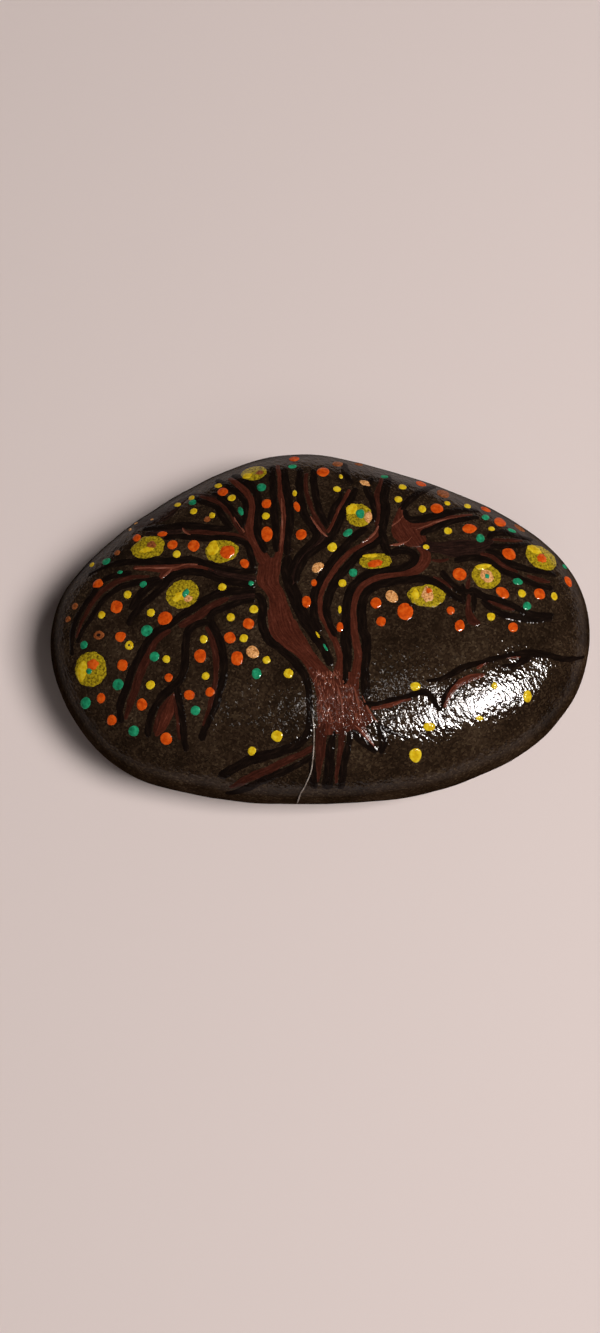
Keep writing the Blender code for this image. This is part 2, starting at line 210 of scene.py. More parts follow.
# Noise whose features are this many millimetres: output 0 is grey and 1 is coloured
def noise(tree, place, size, detail, rough=0.5, output=0):
    inputs = {"Vector": place, "Scale": perMm(size), "Detail": detail, "Roughness": rough}
    return addNode(tree, "TexNoise", inputs).outputs[output]


# Pushes a place about by coloured noise of this size and reach in millimetres, so that grains lose order
def bend(tree, place, size, reach):
    drift = noise(tree, place, size, 2.0, output=1)
    reaches = (reach * millimetre,) * 3
    return addNode(tree, "VectorMath", {0: drift, 1: reaches, 2: place}, operation="MULTIPLY_ADD").outputs[0]


def ramp(tree, share, *stops):
    return addNode(tree, "ValToRGB", {"Fac": share}, stops).outputs[0]


def multiply(tree, one, other):
    inputs = {0: 1.0, 6: one, 7: other}
    return addNode(tree, "Mix", inputs, data_type="RGBA", blend_type="MULTIPLY").outputs[2]


varnish = {
    "roughness": 0.035,
    "ior": 1.5,  # of paint, wet stone and varnish alike
    "dashLength": 1.25,  # brush drag marks
    "dashWidth": 0.65,
    "dashTurn": -58,  # degrees from +X
    "dashDepth": 0.115,
    "swellSize": 3.2,
    "swellDepth": 0.08,
    "edge": (14.8, 19.6),  # heights between which the varnish thins out towards the waist
}


# Starts a material with its shader under brushed gloss varnish: a coat that thins out towards the waist, with
# short drag marks and slow swells of its own, so that lamps break up into fine streaks on it
def startVarnished(name, roughness, dashDepth=1.0, gloss=1.0):
    material = bpy.data.materials.new(name)
    material.use_nodes = True
    tree = material.node_tree
    shader = tree.nodes["Principled BSDF"]
    shader.inputs["Roughness"].default_value = roughness
    shader.inputs["IOR"].default_value = varnish["ior"]
    # only the varnish shines, because what lies under it bends light about as much as it does
    shader.inputs["Specular IOR Level"].default_value = 0.0
    shader.inputs["Coat Roughness"].default_value = varnish["roughness"]
    shader.inputs["Coat IOR"].default_value = varnish["ior"]
    place = addNode(tree, "TexCoord").outputs["Object"]
    low, high = varnish["edge"]
    covered = addNode(tree, "MapRange", {
        "Value": addNode(tree, "SeparateXYZ", {"Vector": place}).outputs["Z"],
        "From Min": low * millimetre,
        "From Max": high * millimetre,
        "To Max": gloss,
    }, interpolation_type="SMOOTHSTEP").outputs[0]
    tree.links.new(covered, shader.inputs["Coat Weight"])
    dashSize = (varnish["dashLength"], varnish["dashWidth"], varnish["dashWidth"])
    turned = addNode(tree, "Mapping", {
        "Vector": place,
        "Rotation": (0, 0, math.radians(varnish["dashTurn"])),
        "Scale": [side * millimetre for side in dashSize],
    }, vector_type="TEXTURE").outputs[0]
    dashes = noise(tree, turned, size=1 / millimetre, detail=2.0, rough=0.6)
    slow = noise(tree, place, size=varnish["swellSize"], detail=1.0)
    ratio = varnish["swellDepth"] / varnish["dashDepth"]
    height = addNode(tree, "Math", {0: slow, 1: ratio, 2: dashes}, operation="MULTIPLY_ADD").outputs[0]
    depth = varnish["dashDepth"] * dashDepth * millimetre
    bump = addNode(tree, "Bump", {"Height": height, "Distance": depth}).outputs[0]
    tree.links.new(bump, shader.inputs["Coat Normal"])
    return material, tree, shader, place


# Gives a shader its colour, and a relief of this many millimetres under the varnish
def dress(tree, shader, colour, relief, depth):
    tree.links.new(colour, shader.inputs["Base Color"])
    bump = addNode(tree, "Bump", {"Height": relief, "Distance": depth * millimetre}).outputs[0]
    tree.links.new(bump, shader.inputs["Normal"])


# Noise on the stroke's own coordinates, along it and across it, stretched so that it runs with the brush
def alongStroke(tree, stretch, detail, rough):
    stroke = addNode(tree, "UVMap", uv_map="stroke").outputs[0]
    drawn = addNode(tree, "Mapping", {"Vector": stroke, "Scale": stretch}).outputs[0]
    return noise(tree, drawn, 1 / millimetre, detail, rough)


# Water-worn greywacke, darkened by the varnish: packed sand grains of olive, brown and grey, seen as a fine
# speckle over slow patches of lighter and darker stone
def riverStone():
    material, tree, shader, place = startVarnished("varnished_greywacke", roughness=0.42)
    # the real grains are about 0.15 mm; they are drawn at 0.3 mm so that they show
    grains = {"Vector": bend(tree, place, size=0.7, reach=0.5), "Scale": perMm(0.3)}
    grain = addNode(tree, "TexVoronoi", grains).outputs["Color"]
    pick = addNode(tree, "SeparateColor", {"Color": grain}).outputs[0]
    sand = ramp(tree, pick, (0.0, "#2a1f17"), (1.0, "#554839"), (0.35, "#31251b"), (0.62, "#392d22"),
                (0.85, "#423529"), (0.96, "#4b3f31"))
    patch = noise(tree, place, size=7.0, detail=4.0, rough=0.6)
    shade = ramp(tree, patch, (0.3, "#968c82"), (0.7, "#fffaf2"), (0.5, "#cfc5ba"))
    grit = noise(tree, place, size=0.5, detail=3.0, rough=0.65)
    dress(tree, shader, multiply(tree, sand, shade), grit, depth=0.03)
    return material


# Burnt-umber acrylic, brushed on along each limb: the bristles leave lighter and darker streaks,
# and the palest of them are pinkish
def brushedBark(name, deep, body, light, edge, gloss=0.6):
    material, tree, shader, place = startVarnished(name, roughness=0.45, gloss=gloss)
    streak = alongStroke(tree, stretch=(0.32, 3.2, 1), detail=4.0, rough=0.6)
    # the edge colour is only the palest streak, laid by the noise and not at the stroke's edge
    colour = ramp(tree, streak, (0.25, deep), (0.78, edge), (0.5, body), (0.64, light))
    fleck = noise(tree, place, size=0.5, detail=3.0, rough=0.7)
    tones = {"Value": fleck, "From Min": 0.3, "From Max": 0.7, "To Min": 0.72, "To Max": 1.22}
    grit = addNode(tree, "MapRange", tones).outputs[0]
    dress(tree, shader, multiply(tree, colour, grit), streak, depth=0.05)
    return material


# Black paint-pen ink, drawn in one pass: nearly black, a touch browner where it ran thin
def penInk(name, gloss):
    material, tree, shader, _ = startVarnished(name, roughness=0.3, gloss=gloss)
    thin = alongStroke(tree, stretch=(0.5, 2.0, 1), detail=3.0, rough=0.5)
    colour = ramp(tree, thin, (0.35, "#100a08"), (0.8, "#2a1d16"), (0.6, "#18100c"))
    dress(tree, shader, colour, thin, depth=0.03)
    return material


# Acrylic set down in dabs from a pen or a dotting tool: even colour, a little deeper where it pooled
# and paler where it pulled thin, with a soft drag texture
def dabbedAcrylic(name, deep, body, pale, grain=0.7):
    material, tree, shader, place = startVarnished(name, roughness=0.38, dashDepth=0.6, gloss=0.5)
    pool = noise(tree, place, size=grain, detail=3.0, rough=0.55)
    colour = ramp(tree, pool, (0.3, deep), (0.72, pale), (0.5, body))
    dress(tree, shader, colour, pool, depth=0.03)
    return material


# Mustard acrylic stippled on with a nearly dry brush: bristle tips leave bright yellow specks, and the dark
# stone shows between them
def stippledMustard():
    material, tree, shader, place = startVarnished("stippled_mustard", roughness=0.42, dashDepth=0.6)
    # bristle tips leave marks near 0.2 mm; drawn at 0.34 mm so that they show
    bent = bend(tree, place, size=0.5, reach=0.4)
    tips = noise(tree, bent, size=0.34, detail=2.0, rough=0.55)
    colour = ramp(tree, tips, (0.3, "#4a3d0d"), (0.75, "#ccb824"), (0.42, "#857212"), (0.55, "#a99118"))
    dress(tree, shader, colour, tips, depth=0.05)
    return material


# A fine natural bristle lying in the varnish: smooth and pale grey, darker in bands along it
def strayBristle():
    material, tree, shader, place = startVarnished("natural_bristle", roughness=0.35, dashDepth=0.0)
    bands = noise(tree, place, size=1.2, detail=2.0)
    colour = ramp(tree, bands, (0.35, "#75695f"), (0.65, "#b5aaa0"))
    tree.links.new(colour, shader.inputs["Base Color"])
    return material


finishes = {
    "stone": riverStone(),
    "bark": brushedBark("brushed_umber_acrylic", "#35170f", "#4a2217", "#5a2c20", "#7d4838"),
    "thinBark": brushedBark("thinned_umber_acrylic", "#27120c", "#381a12", "#46231a", "#683c30"),
    # pale pinkish umber: partly dry brushing, partly a painted highlight for the varnish's glints
    "dryBark": brushedBark("dry_brushed_umber_with_painted_highlight", "#5a2c21", "#75402f", "#8a5444", "#a87262"),
    "mattBark": brushedBark("matt_umber_acrylic", "#35170f", "#54281c", "#6b3526", "#8a5040", gloss=0.1),
    "darkBark": brushedBark("umber_over_black_acrylic", "#140d0b", "#241612", "#33201a", "#4b3129"),
    "ink": penInk("paint_pen_black", gloss=0.4),
    "mattInk": penInk("matt_paint_pen_black", gloss=0.0),
    "blossom": stippledMustard(),
    "orange": dabbedAcrylic("orange_acrylic", "#b23c0c", "#d2500f", "#e26b22"),
    "fadedOrange": dabbedAcrylic("thinned_orange_acrylic", "#5d3218", "#8a4a24", "#a8653a", grain=0.4),
    "yellow": dabbedAcrylic("yellow_acrylic", "#c49a10", "#dcbb1c", "#ead23c"),
    "green": dabbedAcrylic("emerald_acrylic", "#156344", "#1f8a60", "#2fa878"),
    "peach": dabbedAcrylic("peach_acrylic", "#7c4a24", "#dd9c5c", "#f6c88e", grain=0.3),
    "bristle": strayBristle(),
}
print("finishes mixed:", len(finishes))


# The stone: rings from the top to the underside at reach rim sin^(2/n) and height cos^(2/n), raised by the
# slow unevenness, then flattened where it rests: z becomes (z + e)^2 / 4e while |z| < e, and 0 below that
def makeStone():
    power = 2 / stone["fullness"]
    down = np.linspace(0, np.pi, stone["down"] + 2)[1:-1, None]
    angle = np.linspace(0, 2 * np.pi, stone["around"], endpoint=False)[None]
    reach = rimRadius(angle) * np.sin(down) ** power
    rise = np.where(down < np.pi / 2, crown, -stone["belly"]) * np.abs(np.cos(down)) ** power
    height = stone["waist"] + rise + 0 * angle  # the same all the way round each ring
    rings = np.stack([reach * np.cos(angle), reach * np.sin(angle), height], axis=-1)
    rings = liftOff(rings, np.zeros(rings.shape[:-1]))
    edge = stone["footEdge"]
    z = rings[..., 2]
    rings[..., 2] = np.where(z < edge, np.where(z < -edge, 0, (z + edge) ** 2 / (4 * edge)), z)
    top = liftOff(np.array([[0.0, 0.0, stone["waist"] + crown]]), np.zeros(1))
    foot = np.array([[0.0, 0.0, 0.0]])
    return closedSkin("river_stone", top, rings[None], foot)


handOver(makeStone(), "stone", "river_stone", "pebble")
print("stone made")

film = {
    "bed": 0.06,  # how far a film reaches into the stone
    "station": 0.42,
    "spanSteps": 24,  # samples between two typed points
    "capSteps": 6,
    "leastShare": 0.02,  # of the full width, left at the very ends
    "undersideShare": 0.96,  # of the width, so that the sides lean in
    "edgeWaves": ((6.5, 0.05), (3.1, 0.04), (1.6, 0.028), (0.8, 0.016)),  # length and height of the wobble
    "ridges": ((1.1, 0.4), (0.62, 0.35), (0.38, 0.25)),  # spacing and share of the bristle marks
    "ridgeWander": 0.8,
    "ridgeBends": (5, 9),  # range of lengths over which they wander
    "ridgePhases": (0, 6),  # range of where they start, nearly a whole turn
    "sunk": 0.02,  # how far a film's edge lies under the stone's face
    "sharpness": 2.6,  # how steep the film's sides are
}


# Points, typed as "x y" pairs with commas between, or "x y z" where a line leaves the upper face
def pointsOf(text):
    return [tuple(map(float, point.split())) for point in text.split(",")]


# Catmull-Rom curve through the points, closely sampled: on each span
# (2b + (c - a) t + (2a - 5b + 4c - d) t^2 + (3b - a - 3c + d) t^3) / 2, with the distance run along it
def smoothLine(path):
    placed = np.array([point if len(point) == 3 else (*point, overPlan(*point)) for point in pointsOf(path)])
    ends = np.vstack([2 * placed[0] - placed[1], placed, 2 * placed[-1] - placed[-2]])
    a, b, c, d = (ends[i:len(ends) - 3 + i, None] for i in range(4))
    t = np.linspace(0, 1, film["spanSteps"], endpoint=False)[None, :, None]
    curve = (2 * b + (c - a) * t + (2 * a - 5 * b + 4 * c - d) * t**2 + (3 * b - a - 3 * c + d) * t**3) / 2
    curve = ontoStone(np.vstack([curve.reshape(-1, 3), placed[-1:]]))
    run = np.concatenate([[0], np.cumsum(np.linalg.norm(np.diff(curve, axis=0), axis=1))])
    return curve, run


# The points of a curve at distances along it
def pointsAt(distance, run, curve):
    return np.stack([np.interp(distance, run, curve[:, i]) for i in range(3)], axis=-1)


# Distances along a film: even in the middle, and closing up over each round end
def stationsOf(length, startCap, endCap):
    turn = 1 - np.cos(np.linspace(0, np.pi / 2, film["capSteps"] + 1)[1:])
    spans = max(int((length - startCap - endCap) / film["station"]), 2)
    middle = np.linspace(startCap, length - endCap, spans + 1)
    return np.concatenate([startCap * turn[:-1], middle, length - endCap * turn[-2::-1]])


# Share of the full width near the ends: sqrt(1 - (1 - s / cap)^2), the side of an ellipse
def capShare(distance, length, startCap, endCap):
    start = np.clip(1 - distance / startCap, 0, 1)
    end = np.clip(1 - (length - distance) / endCap, 0, 1)
    return np.maximum(np.sqrt(1 - np.maximum(start, end) ** 2), film["leastShare"])


# A hand's wobble along an edge: sines of the listed lengths and heights at random phases
def handWobble(distance, dice):
    lengths, heights = np.array(film["edgeWaves"]).T
    phases = dice.uniform(0, 2 * np.pi, len(lengths))
    return np.sin(distance[:, None] * (2 * np.pi / lengths) + phases) @ heights


# Lays a film between two edge lines. Across it u runs from -1 to 1, and it stands thickness (1 - |u|^k) high,
# with bristle ridges if asked: sines across the stroke whose phase wanders along it
def layFilm(name, left, right, distance, thickness, cuts, ridge, dice):
    across = np.sin(np.linspace(-np.pi / 2, np.pi / 2, cuts))
    spread = np.concatenate([across, across[-2:0:-1] * film["undersideShare"]])
    profile = (thickness + film["sunk"]) * (1 - np.abs(across) ** film["sharpness"]) - film["sunk"]
    lift = np.concatenate([profile, np.full(cuts - 2, -film["bed"])])
    middle = (left + right) / 2
    half = (left - right) / 2
    width = np.linalg.norm(half, axis=1)
    rings = middle[:, None] + half[:, None] * spread[None, :, None]
    heights = np.repeat(lift[None], len(rings), axis=0)
    sideways = width[:, None] * spread[None]
    if ridge:
        for spacing, share in film["ridges"]:
            bends = distance / dice.uniform(*film["ridgeBends"]) + dice.uniform(*film["ridgePhases"])
            turns = sideways / spacing + film["ridgeWander"] * np.sin(bends)[:, None]
            wave = np.sin(turns * 2 * np.pi + dice.uniform(*film["ridgePhases"]))
            heights[:, :cuts] += (ridge * share * wave * (1 - spread**4))[:, :cuts]
    rings = liftOff(rings, heights)
    ends = liftOff(middle[[0, -1]], np.full(2, -film["sunk"]))
    uv = np.stack([np.repeat(distance[:, None], len(spread), axis=1), sideways], axis=-1).reshape(-1, 2)
    uv = np.concatenate([[[distance[0], 0]], uv, [[distance[-1], 0]]])
    return closedSkin(name, ends[:1], rings[None], ends[1:], uv)


# A stroke along one line: its edges stand half its width to either side, the width runs evenly through the
# typed values, each times the spread, and its ends are round
def layStroke(name, width, path, thickness, cuts, ridge=0.0, spread=1.0):
    dice = np.random.default_rng(sum(map(ord, name)))
    curve, run = smoothLine(path)
    widths = np.array(width.split(), float) * spread
    caps = (widths[0] / 2, widths[-1] / 2)
    distance = stationsOf(run[-1], *caps)
    share = capShare(distance, run[-1], *caps)
    share[[0, -1]] = film["leastShare"]
    centre = pointsAt(distance, run, curve)
    ahead = np.gradient(centre, axis=0)
    side = np.cross(outward(centre), ahead)
    side /= np.linalg.norm(side, axis=1, keepdims=True)
    half = np.interp(distance / run[-1], np.linspace(0, 1, len(widths)), widths) / 2
    left = centre + side * ((half + handWobble(distance, dice)) * share)[:, None]
    right = centre - side * ((half + handWobble(distance, dice)) * share)[:, None]
    return layFilm(name, left, right, distance, thickness, cuts, ridge, dice)


# A patch between two drawn edges, such as the trunk: both are sampled at the same shares of their length
def layPatch(name, caps, leftPath, rightPath, thickness, cuts, ridge):
    dice = np.random.default_rng(sum(map(ord, name)))
    leftCurve, leftRun = smoothLine(leftPath)
    rightCurve, rightRun = smoothLine(rightPath)
    length = (leftRun[-1] + rightRun[-1]) / 2
    distance = stationsOf(length, *caps)
    share = capShare(distance, length, *caps)[:, None]
    left = pointsAt(distance / length, leftRun / leftRun[-1], leftCurve)
    right = pointsAt(distance / length, rightRun / rightRun[-1], rightCurve)
    middle = (left + right) / 2
    out = (left - right) / 2
    out /= np.linalg.norm(out, axis=1, keepdims=True)
    left = middle + (left - middle + out * handWobble(distance, dice)[:, None]) * share
    right = middle + (right - middle - out * handWobble(distance, dice)[:, None]) * share
    return layFilm(name, left, right, distance, thickness, cuts, ridge, dice)


# Each kind of brushed film, as its thickness, the points across it and the height of its bristle ridges
brushwork = {
    "trunk": (0.04, 25, 0.014),
    "patch": (0.04, 25, 0.01),
    "limb": (0.035, 11, 0.008),
    "darkPatch": (0.045, 17, 0.012),
    "darkLimb": (0.04, 11, 0.008),
    "dryLimb": (0.05, 9, 0.008),
}
# Bark, brushed on first: patches as the lengths of their ends and their two edges, then limbs as a finish,
# widths and points
barkPatches = {
    "trunk": ((1.2, 0.8),
        "-10.6 9.4, -10.8 7.4, -10.9 5, -9.3 3.1, -8.9 1.6, -9.15 -1.2, -9.05 -3, -8.15 -4.4, -6.7 -5.6,"
        "-4.9 -6.8, -3.6 -8, -2.6 -9.5, -1.8 -11.5, -1.4 -14, -1.2 -17, -1.3 -20",
        "-6.3 9.6, -6.6 7, -6.6 5, -5.8 3.2, -5.3 1.5, -4.6 0.2, -3.9 -1.3, -3 -2.8, -2.1 -4.5, -1.3 -6,"
        "-0.3 -7.6, 1.2 -9.3, 2.6 -11, 4 -13, 4.6 -16, 4.4 -19.4"),
    "trunk_foot": ((0.8, 0.7),
        "2.2 -9.6, 1.8 -12, 1.5 -15, 2 -18, 3.2 -19.8",
        "6.2 -9.8, 6.1 -12, 6.5 -13.8, 7.6 -15.4, 9 -17.6"),
    "block": ((0.9, 0.7),
        "14.6 11.2, 12.2 12.2, 11.2 13.6, 11.2 15, 11.9 16.6, 12.6 18.2, 13 19",
        "17.4 11.6, 17.6 13, 17.4 14.2, 16.7 15.2, 15.2 16.1, 14.2 17.4, 13.7 18.9"),
    "fan": ((0.5, 0.3),
        "-24.3 -12.9, -25.5 -14.4, -26.4 -16.3, -27 -18.3, -27.3 -19.6",
        "-23.9 -12.9, -23.7 -14.6, -24 -16.4, -25 -18.4, -26.6 -19.8"),
}
barkStrokes = {
    "main": ("bark", "3.3 2.1 1.9 2 1.6 1.7 1.4 1",
        "-9 8.2, -9.9 9.9, -10.9 11.6, -11.8 13.4, -12 15, -11.8 17.2, -11.7 19, -12.3 21, -13.4 22.7,"
        "-14.6 24, -15.8 25.2"),
    "left_high": ("thinBark", "0.9 0.7 0.7 1.3 1.5 1",
        "-12.1 12.8, -13.7 14.5, -14.5 15.9, -15.2 17.5, -16.2 18.9, -17.5 20, -19.1 21.1, -20.6 21.9"),
    "left_low": ("thinBark", "1.3 0.9 0.8 1 1.4 1.1 0.6",
        "-12.1 12.7, -14.1 13.5, -16.3 14, -18.4 14.3, -20.9 14.4, -22.3 14.5, -23.1 15.3"),
    "centre": ("bark", "2 1.1 1 1.2 1 0.8 0.8",
        "-7.5 8.4, -7 10.4, -6.6 12.3, -6.4 14.4, -6.2 16.4, -6.4 18.3, -6.8 20.5, -7.1 24.3, -7.4 27.6"),
    "bough": ("bark", "0.5 0.9 1.3 1.9 1.8 1.3 0.7",
        "-17.2 7.1, -19.3 7.9, -21.3 8.2, -23.4 8.2, -25.5 8.1, -28.5 8.2, -31.3 8.5"),
    "bough_fork": ("bark", "1.6 1 0.5", "-24.8 8.2, -26.1 7.3, -26.7 6.3, -26.9 5.8"),
    "outer": ("thinBark", "0.5 1 1.3 1.1 0.9 0.6",
        "-28.4 6.8, -31.2 6.7, -33.4 6.3, -34.9 5.7, -36.4 4.6, -37.9 2.9, -39 1.2, -40.1 -1.1, -40.7 -3"),
    "middle": ("thinBark", "0.5 1.2 1.7 1.9 1",
        "-14.2 2.6, -15.7 2.3, -17.4 1.5, -18.9 0.6, -20.2 -0.5, -21.9 -1.5, -23.4 -2"),
    "droop_outer": ("thinBark", "0.8 1.4 1.8 1.7 1.5 0.8",
        "-24.6 -2.6, -26.8 -4.1, -28.1 -6.2, -29.2 -8.6, -29.9 -10.4, -30.6 -12.6, -31.3 -14.6, -32.1 -16.9"),
    "droop_middle_left": ("thinBark", "0.7 1.3 1.2 0.7",
        "-24.6 -13.5, -25.8 -15.2, -26.6 -17.2, -27.2 -19.2"),
    "droop_middle_right": ("thinBark", "0.6 0.9 0.9 0.6", "-24.1 -13.5, -23.6 -15.7, -23.3 -18, -23.1 -20.4"),
    "droop_inner": ("thinBark", "0.7 1.3 1.2 1 1 1.2 0.7",
        "-18.8 -2.2, -17.9 -4.2, -17.2 -7.2, -17.2 -10.4, -17.6 -13, -18.3 -16, -19.4 -19.2"),
    "vee_left": ("thinBark", "1.5 1.1 0.8 0.9 0.9 0.7",
        "0.4 13.4, -0.3 15.1, -1.2 17, -1.9 19, -2.5 21.2, -2.6 23.3, -2.5 25.4"),
    "vee_right": ("bark", "1 0.7 0.8 0.9 0.6", "0.9 13.8, 1.6 15, 2.3 16.7, 3.1 18.6, 4 20.5, 4.7 22.1"),
    "rise": ("bark", "2.4 1.3 1 1 1 1.1 1.2 1.2 1 1.2 1",
        "2.6 -10.4, 2.9 -8, 2.4 -5.6, 1.5 -3.7, 0.6 -2, -0.1 -0.6, -0.4 1.2, -0.2 3, 0.5 4.9, 1.5 6.6,"
        "2.6 8.1, 3.8 9.5, 5.2 10.8, 6.8 11.6, 8.3 12.5, 9.3 13.7, 9.2 15"),
    "north": ("thinBark", "0.9 1.2 1.3 1.1 0.8", "9.1 15, 9.4 17, 9.3 19, 9.3 21, 9.8 23, 10.3 24.9"),
    "stem": ("bark", "2 1.7 1.5 1.6 1.5 1.4 1.4 1.5 1.9 2.2 2",
        "5.2 -11, 5.6 -9, 5.8 -7, 5.5 -4.8, 5.1 -2.6, 4.9 0.2, 5.4 2.6, 6.5 4.5, 8.5 5.7, 11.1 6.4, 13.9 6.8,"
        "15.9 7.6, 16.9 9, 16.9 10.6, 15.9 12"),
    "upper_right": ("bark", "2.2 1.5 1.1 0.9 0.5",
        "14.6 15, 16.3 15.4, 18.3 16, 20.4 16.9, 22.8 17.7, 25.5 18.3"),
    "knee": ("thinBark", "0.5 0.8 0.5", "18 9.1, 19.4 9, 20.9 9.5"),
    "bend": ("thinBark", "0.4 0.8 0.5", "18.2 6.2, 19.8 5.5, 21.4 4.3"),
    "tip_upper": ("thinBark", "0.5 1 0.9 0.5", "28.4 13.5, 30.2 13.6, 32 13.7, 34 14"),
    "tip_middle": ("thinBark", "0.9 0.8 1.2 0.9 0.5", "26.2 10.7, 28.2 10.3, 29.5 9.2, 30.9 8.3, 32.6 7.7"),
    "tip_far": ("thinBark", "0.6 1.1 1 0.5", "34 7.2, 35.6 6.8, 36.9 6.6, 38.2 6.6"),
    "tip_low": ("thinBark", "0.6 1.3 1.2 0.6", "26.2 3, 28 2.3, 29.7 1.6, 31.6 0.9"),
    "twig": ("thinBark", "0.5 0.9 0.8 0.7 1.4 1.9 1",
        "24.2 6.1, 23.9 4.6, 24 2.9, 23.8 1.3, 24 0, 24.8 -1.2, 25.8 -1.5"),
    "root_left": ("thinBark", "1 1.3 1.5 1.6 1.8 1.5 0.8",
        "-1.2 -21.5, -3.9 -22.9, -6.5 -24, -8.4 -24.9, -10.2 -25.6, -12 -26.3, -13.6 -27, -15.2 -27.6"),
    "root_down_left": ("thinBark", "3 2.2 1.7 1.1 0.5",
        "0.3 -17.8, -0.2 -20, -0.3 -22.3, -0.5 -24.5, -0.7 -26.8"),
    "root_down_right": ("thinBark", "2.2 1.3 1 0.8 0.5", "3.5 -17.6, 3.2 -20, 2.8 -22.3, 2.5 -24.6, 2.2 -27"),
    "root_short": ("bark", "2.4 1.8 1.1 0.5", "5.3 -17, 6.2 -18.8, 7.3 -20.3, 8.6 -21.9"),
    "ground_step": ("mattBark", "0.6 1 1.4 1.4 0.6",
        "19.8 -15.3, 20.3 -13.7, 21.3 -12.2, 22.7 -11.1, 24.9 -10.2, 26.4 -9.8"),
    "ground_foot": ("mattBark", "0.7 0.9 0.7 0.4", "7.8 -15.6, 10.1 -15.2, 12.5 -14.5, 14.4 -14"),
    "ground_high": ("mattBark", "0.5 0.9 0.9 0.4", "25 -8.9, 27 -7.6, 29.5 -6.9, 32.5 -6.7"),
}
for key, patch in barkPatches.items():
    name = "bark_" + key
    piece = layPatch(name, *patch, *brushwork["trunk" if key == "trunk" else "patch"])
    handOver(piece, "bark", "bark_paint", *solidsOf(name, "limb_", ""))
for key, (finish, width, path) in barkStrokes.items():
    name = "bark_" + key
    piece = layStroke(name, width, path, *brushwork["limb"])
    handOver(piece, finish, "bark_paint", *solidsOf(name, "limb_", ""))
print("bark brushed:", len(barkPatches) + len(barkStrokes), "strokes")

# Limbs brushed in umber over black, wide and dark
darkPatches = {
    "dark_vee": ((0.8, 0.5),
        "-5.5 4.6, -5 7, -4.1 9, -2.6 10.9, -1 12.6, -0.4 13.4",
        "-4.3 4.6, -3.7 7.2, -2.7 9.3, -1.1 10.8, 0.7 12, 1.3 13"),
    "dark_bough_right": ((0.9, 0.8),
        "14.8 12.9, 17.4 12.7, 19.8 12.8, 22.4 13.2, 25 13.4, 27.4 13.4, 28.6 14",
        "17.6 10.1, 19.4 10.3, 21.8 9.6, 24.4 9.9, 26.4 10.4, 27.6 11.4, 28.8 12.4"),
    "dark_rim_left": ((1, 1),
        "-16.4 21.4, -19 22, -22 22.9, -25 21.3, -28.5 19.6, -31.5 18",
        "-17 20.8, -19.2 21.2, -22 22, -25.2 17.6, -28.5 16.4, -32 15.6"),
}
darkStrokes = {
    "dark_bough_left": ("1.3 1.5 1.4 0.8", "-10.7 5.7, -13 6.1, -15.8 6.7, -18.8 7.7"),
    "dark_middle": ("1.1 1.3 0.9", "-10.9 3, -13.2 2.8, -15.3 2.4"),
    "dark_left_low": ("1.2 1.4 1.3 0.9", "-23.2 14.8, -25.4 14.8, -27.4 14.8, -29.6 14.9"),
}
# Pale pinkish strokes along the limbs and over the trunk foot, laid before the outlines: partly dry-brushed
# paint, partly a painted highlight that stands for glints of the varnish
dryAndHighlightStrokes = {
    "dry_bough": ("0.3 0.7 0.6 0.5 0.3", "-31 8.3, -28.4 8.3, -26.2 8.2, -24.2 8.1, -22.4 8.6, -20.4 8.5"),
    "dry_bough_fork": ("0.3 0.6 0.3", "-26.4 6.3, -25.5 7.2, -24.6 8"),
    "dry_centre": ("0.25 0.45 0.4 0.45 0.2", "-6.7 20.2, -6.6 18.1, -6.5 15.5, -6.7 12.4, -6.9 10.2"),
    "dry_left_high": ("0.25 0.5 0.25", "-14.6 17, -13.7 15.4, -12.8 14.1"),
    "dry_left_fork": ("0.25 0.6 0.4", "-23.2 15.4, -22.6 14.5, -21.8 13.9"),
    "dry_block": ("0.2 0.5 0.4 0.2", "11.2 11.6, 12.7 11.9, 14.1 12.4, 14.9 13.3"),
    "dry_block_top": ("0.2 0.5 0.4", "11.6 15.1, 12.7 16.1, 13.6 17.2"),
    "dry_upper_right": ("0.2 0.4 0.4 0.2", "15.6 14.6, 17.6 15.6, 20.2 16.7, 22.8 17.5"),
    "dry_rise": ("0.2 0.5 0.5 0.3", "6.5 12.1, 7.8 12.8, 8.8 13.9, 9.4 15.2"),
    "dry_foot_left": ("0.15 0.4 0.3 0.15", "-0.8 -12.4, 0.4 -14.6, 1.2 -16.6, 1.7 -18.6"),
    "dry_foot_middle": ("0.15 0.45 0.3 0.15", "2.1 -11.2, 2.9 -13.6, 3.3 -15.6, 3.6 -17.4"),
    "dry_foot_right": ("0.2 0.5 0.35 0.15", "5 -12, 5.6 -14.2, 6 -16, 6.2 -17.6"),
    "dry_foot_edge": ("0.15 0.4 0.4 0.15", "6.4 -13.6, 7.1 -15.2, 8 -16.6, 8.9 -17.7"),
    "dry_root_short": ("0.2 0.6 0.6 0.2", "5.2 -18.1, 6.2 -19, 7.2 -20.2, 8.3 -21.3"),
    "dry_vee": ("0.2 0.5 0.6 0.3", "-1.9 16.8, -0.9 15.2, 0.2 13.6, 1 13"),
}
for name, stroke in darkStrokes.items():
    handOver(layStroke(name, *stroke, *brushwork["darkLimb"]), "darkBark", "bark_paint")
# the pale strokes carry a painted highlight as well as dry brushing
for name, stroke in dryAndHighlightStrokes.items():
    handOver(layStroke(name, *stroke, *brushwork["dryLimb"]), "dryBark", "bark_paint")
for name, patch in darkPatches.items():
    handOver(layPatch(name, *patch, *brushwork["darkPatch"]), "darkBark", "bark_paint")

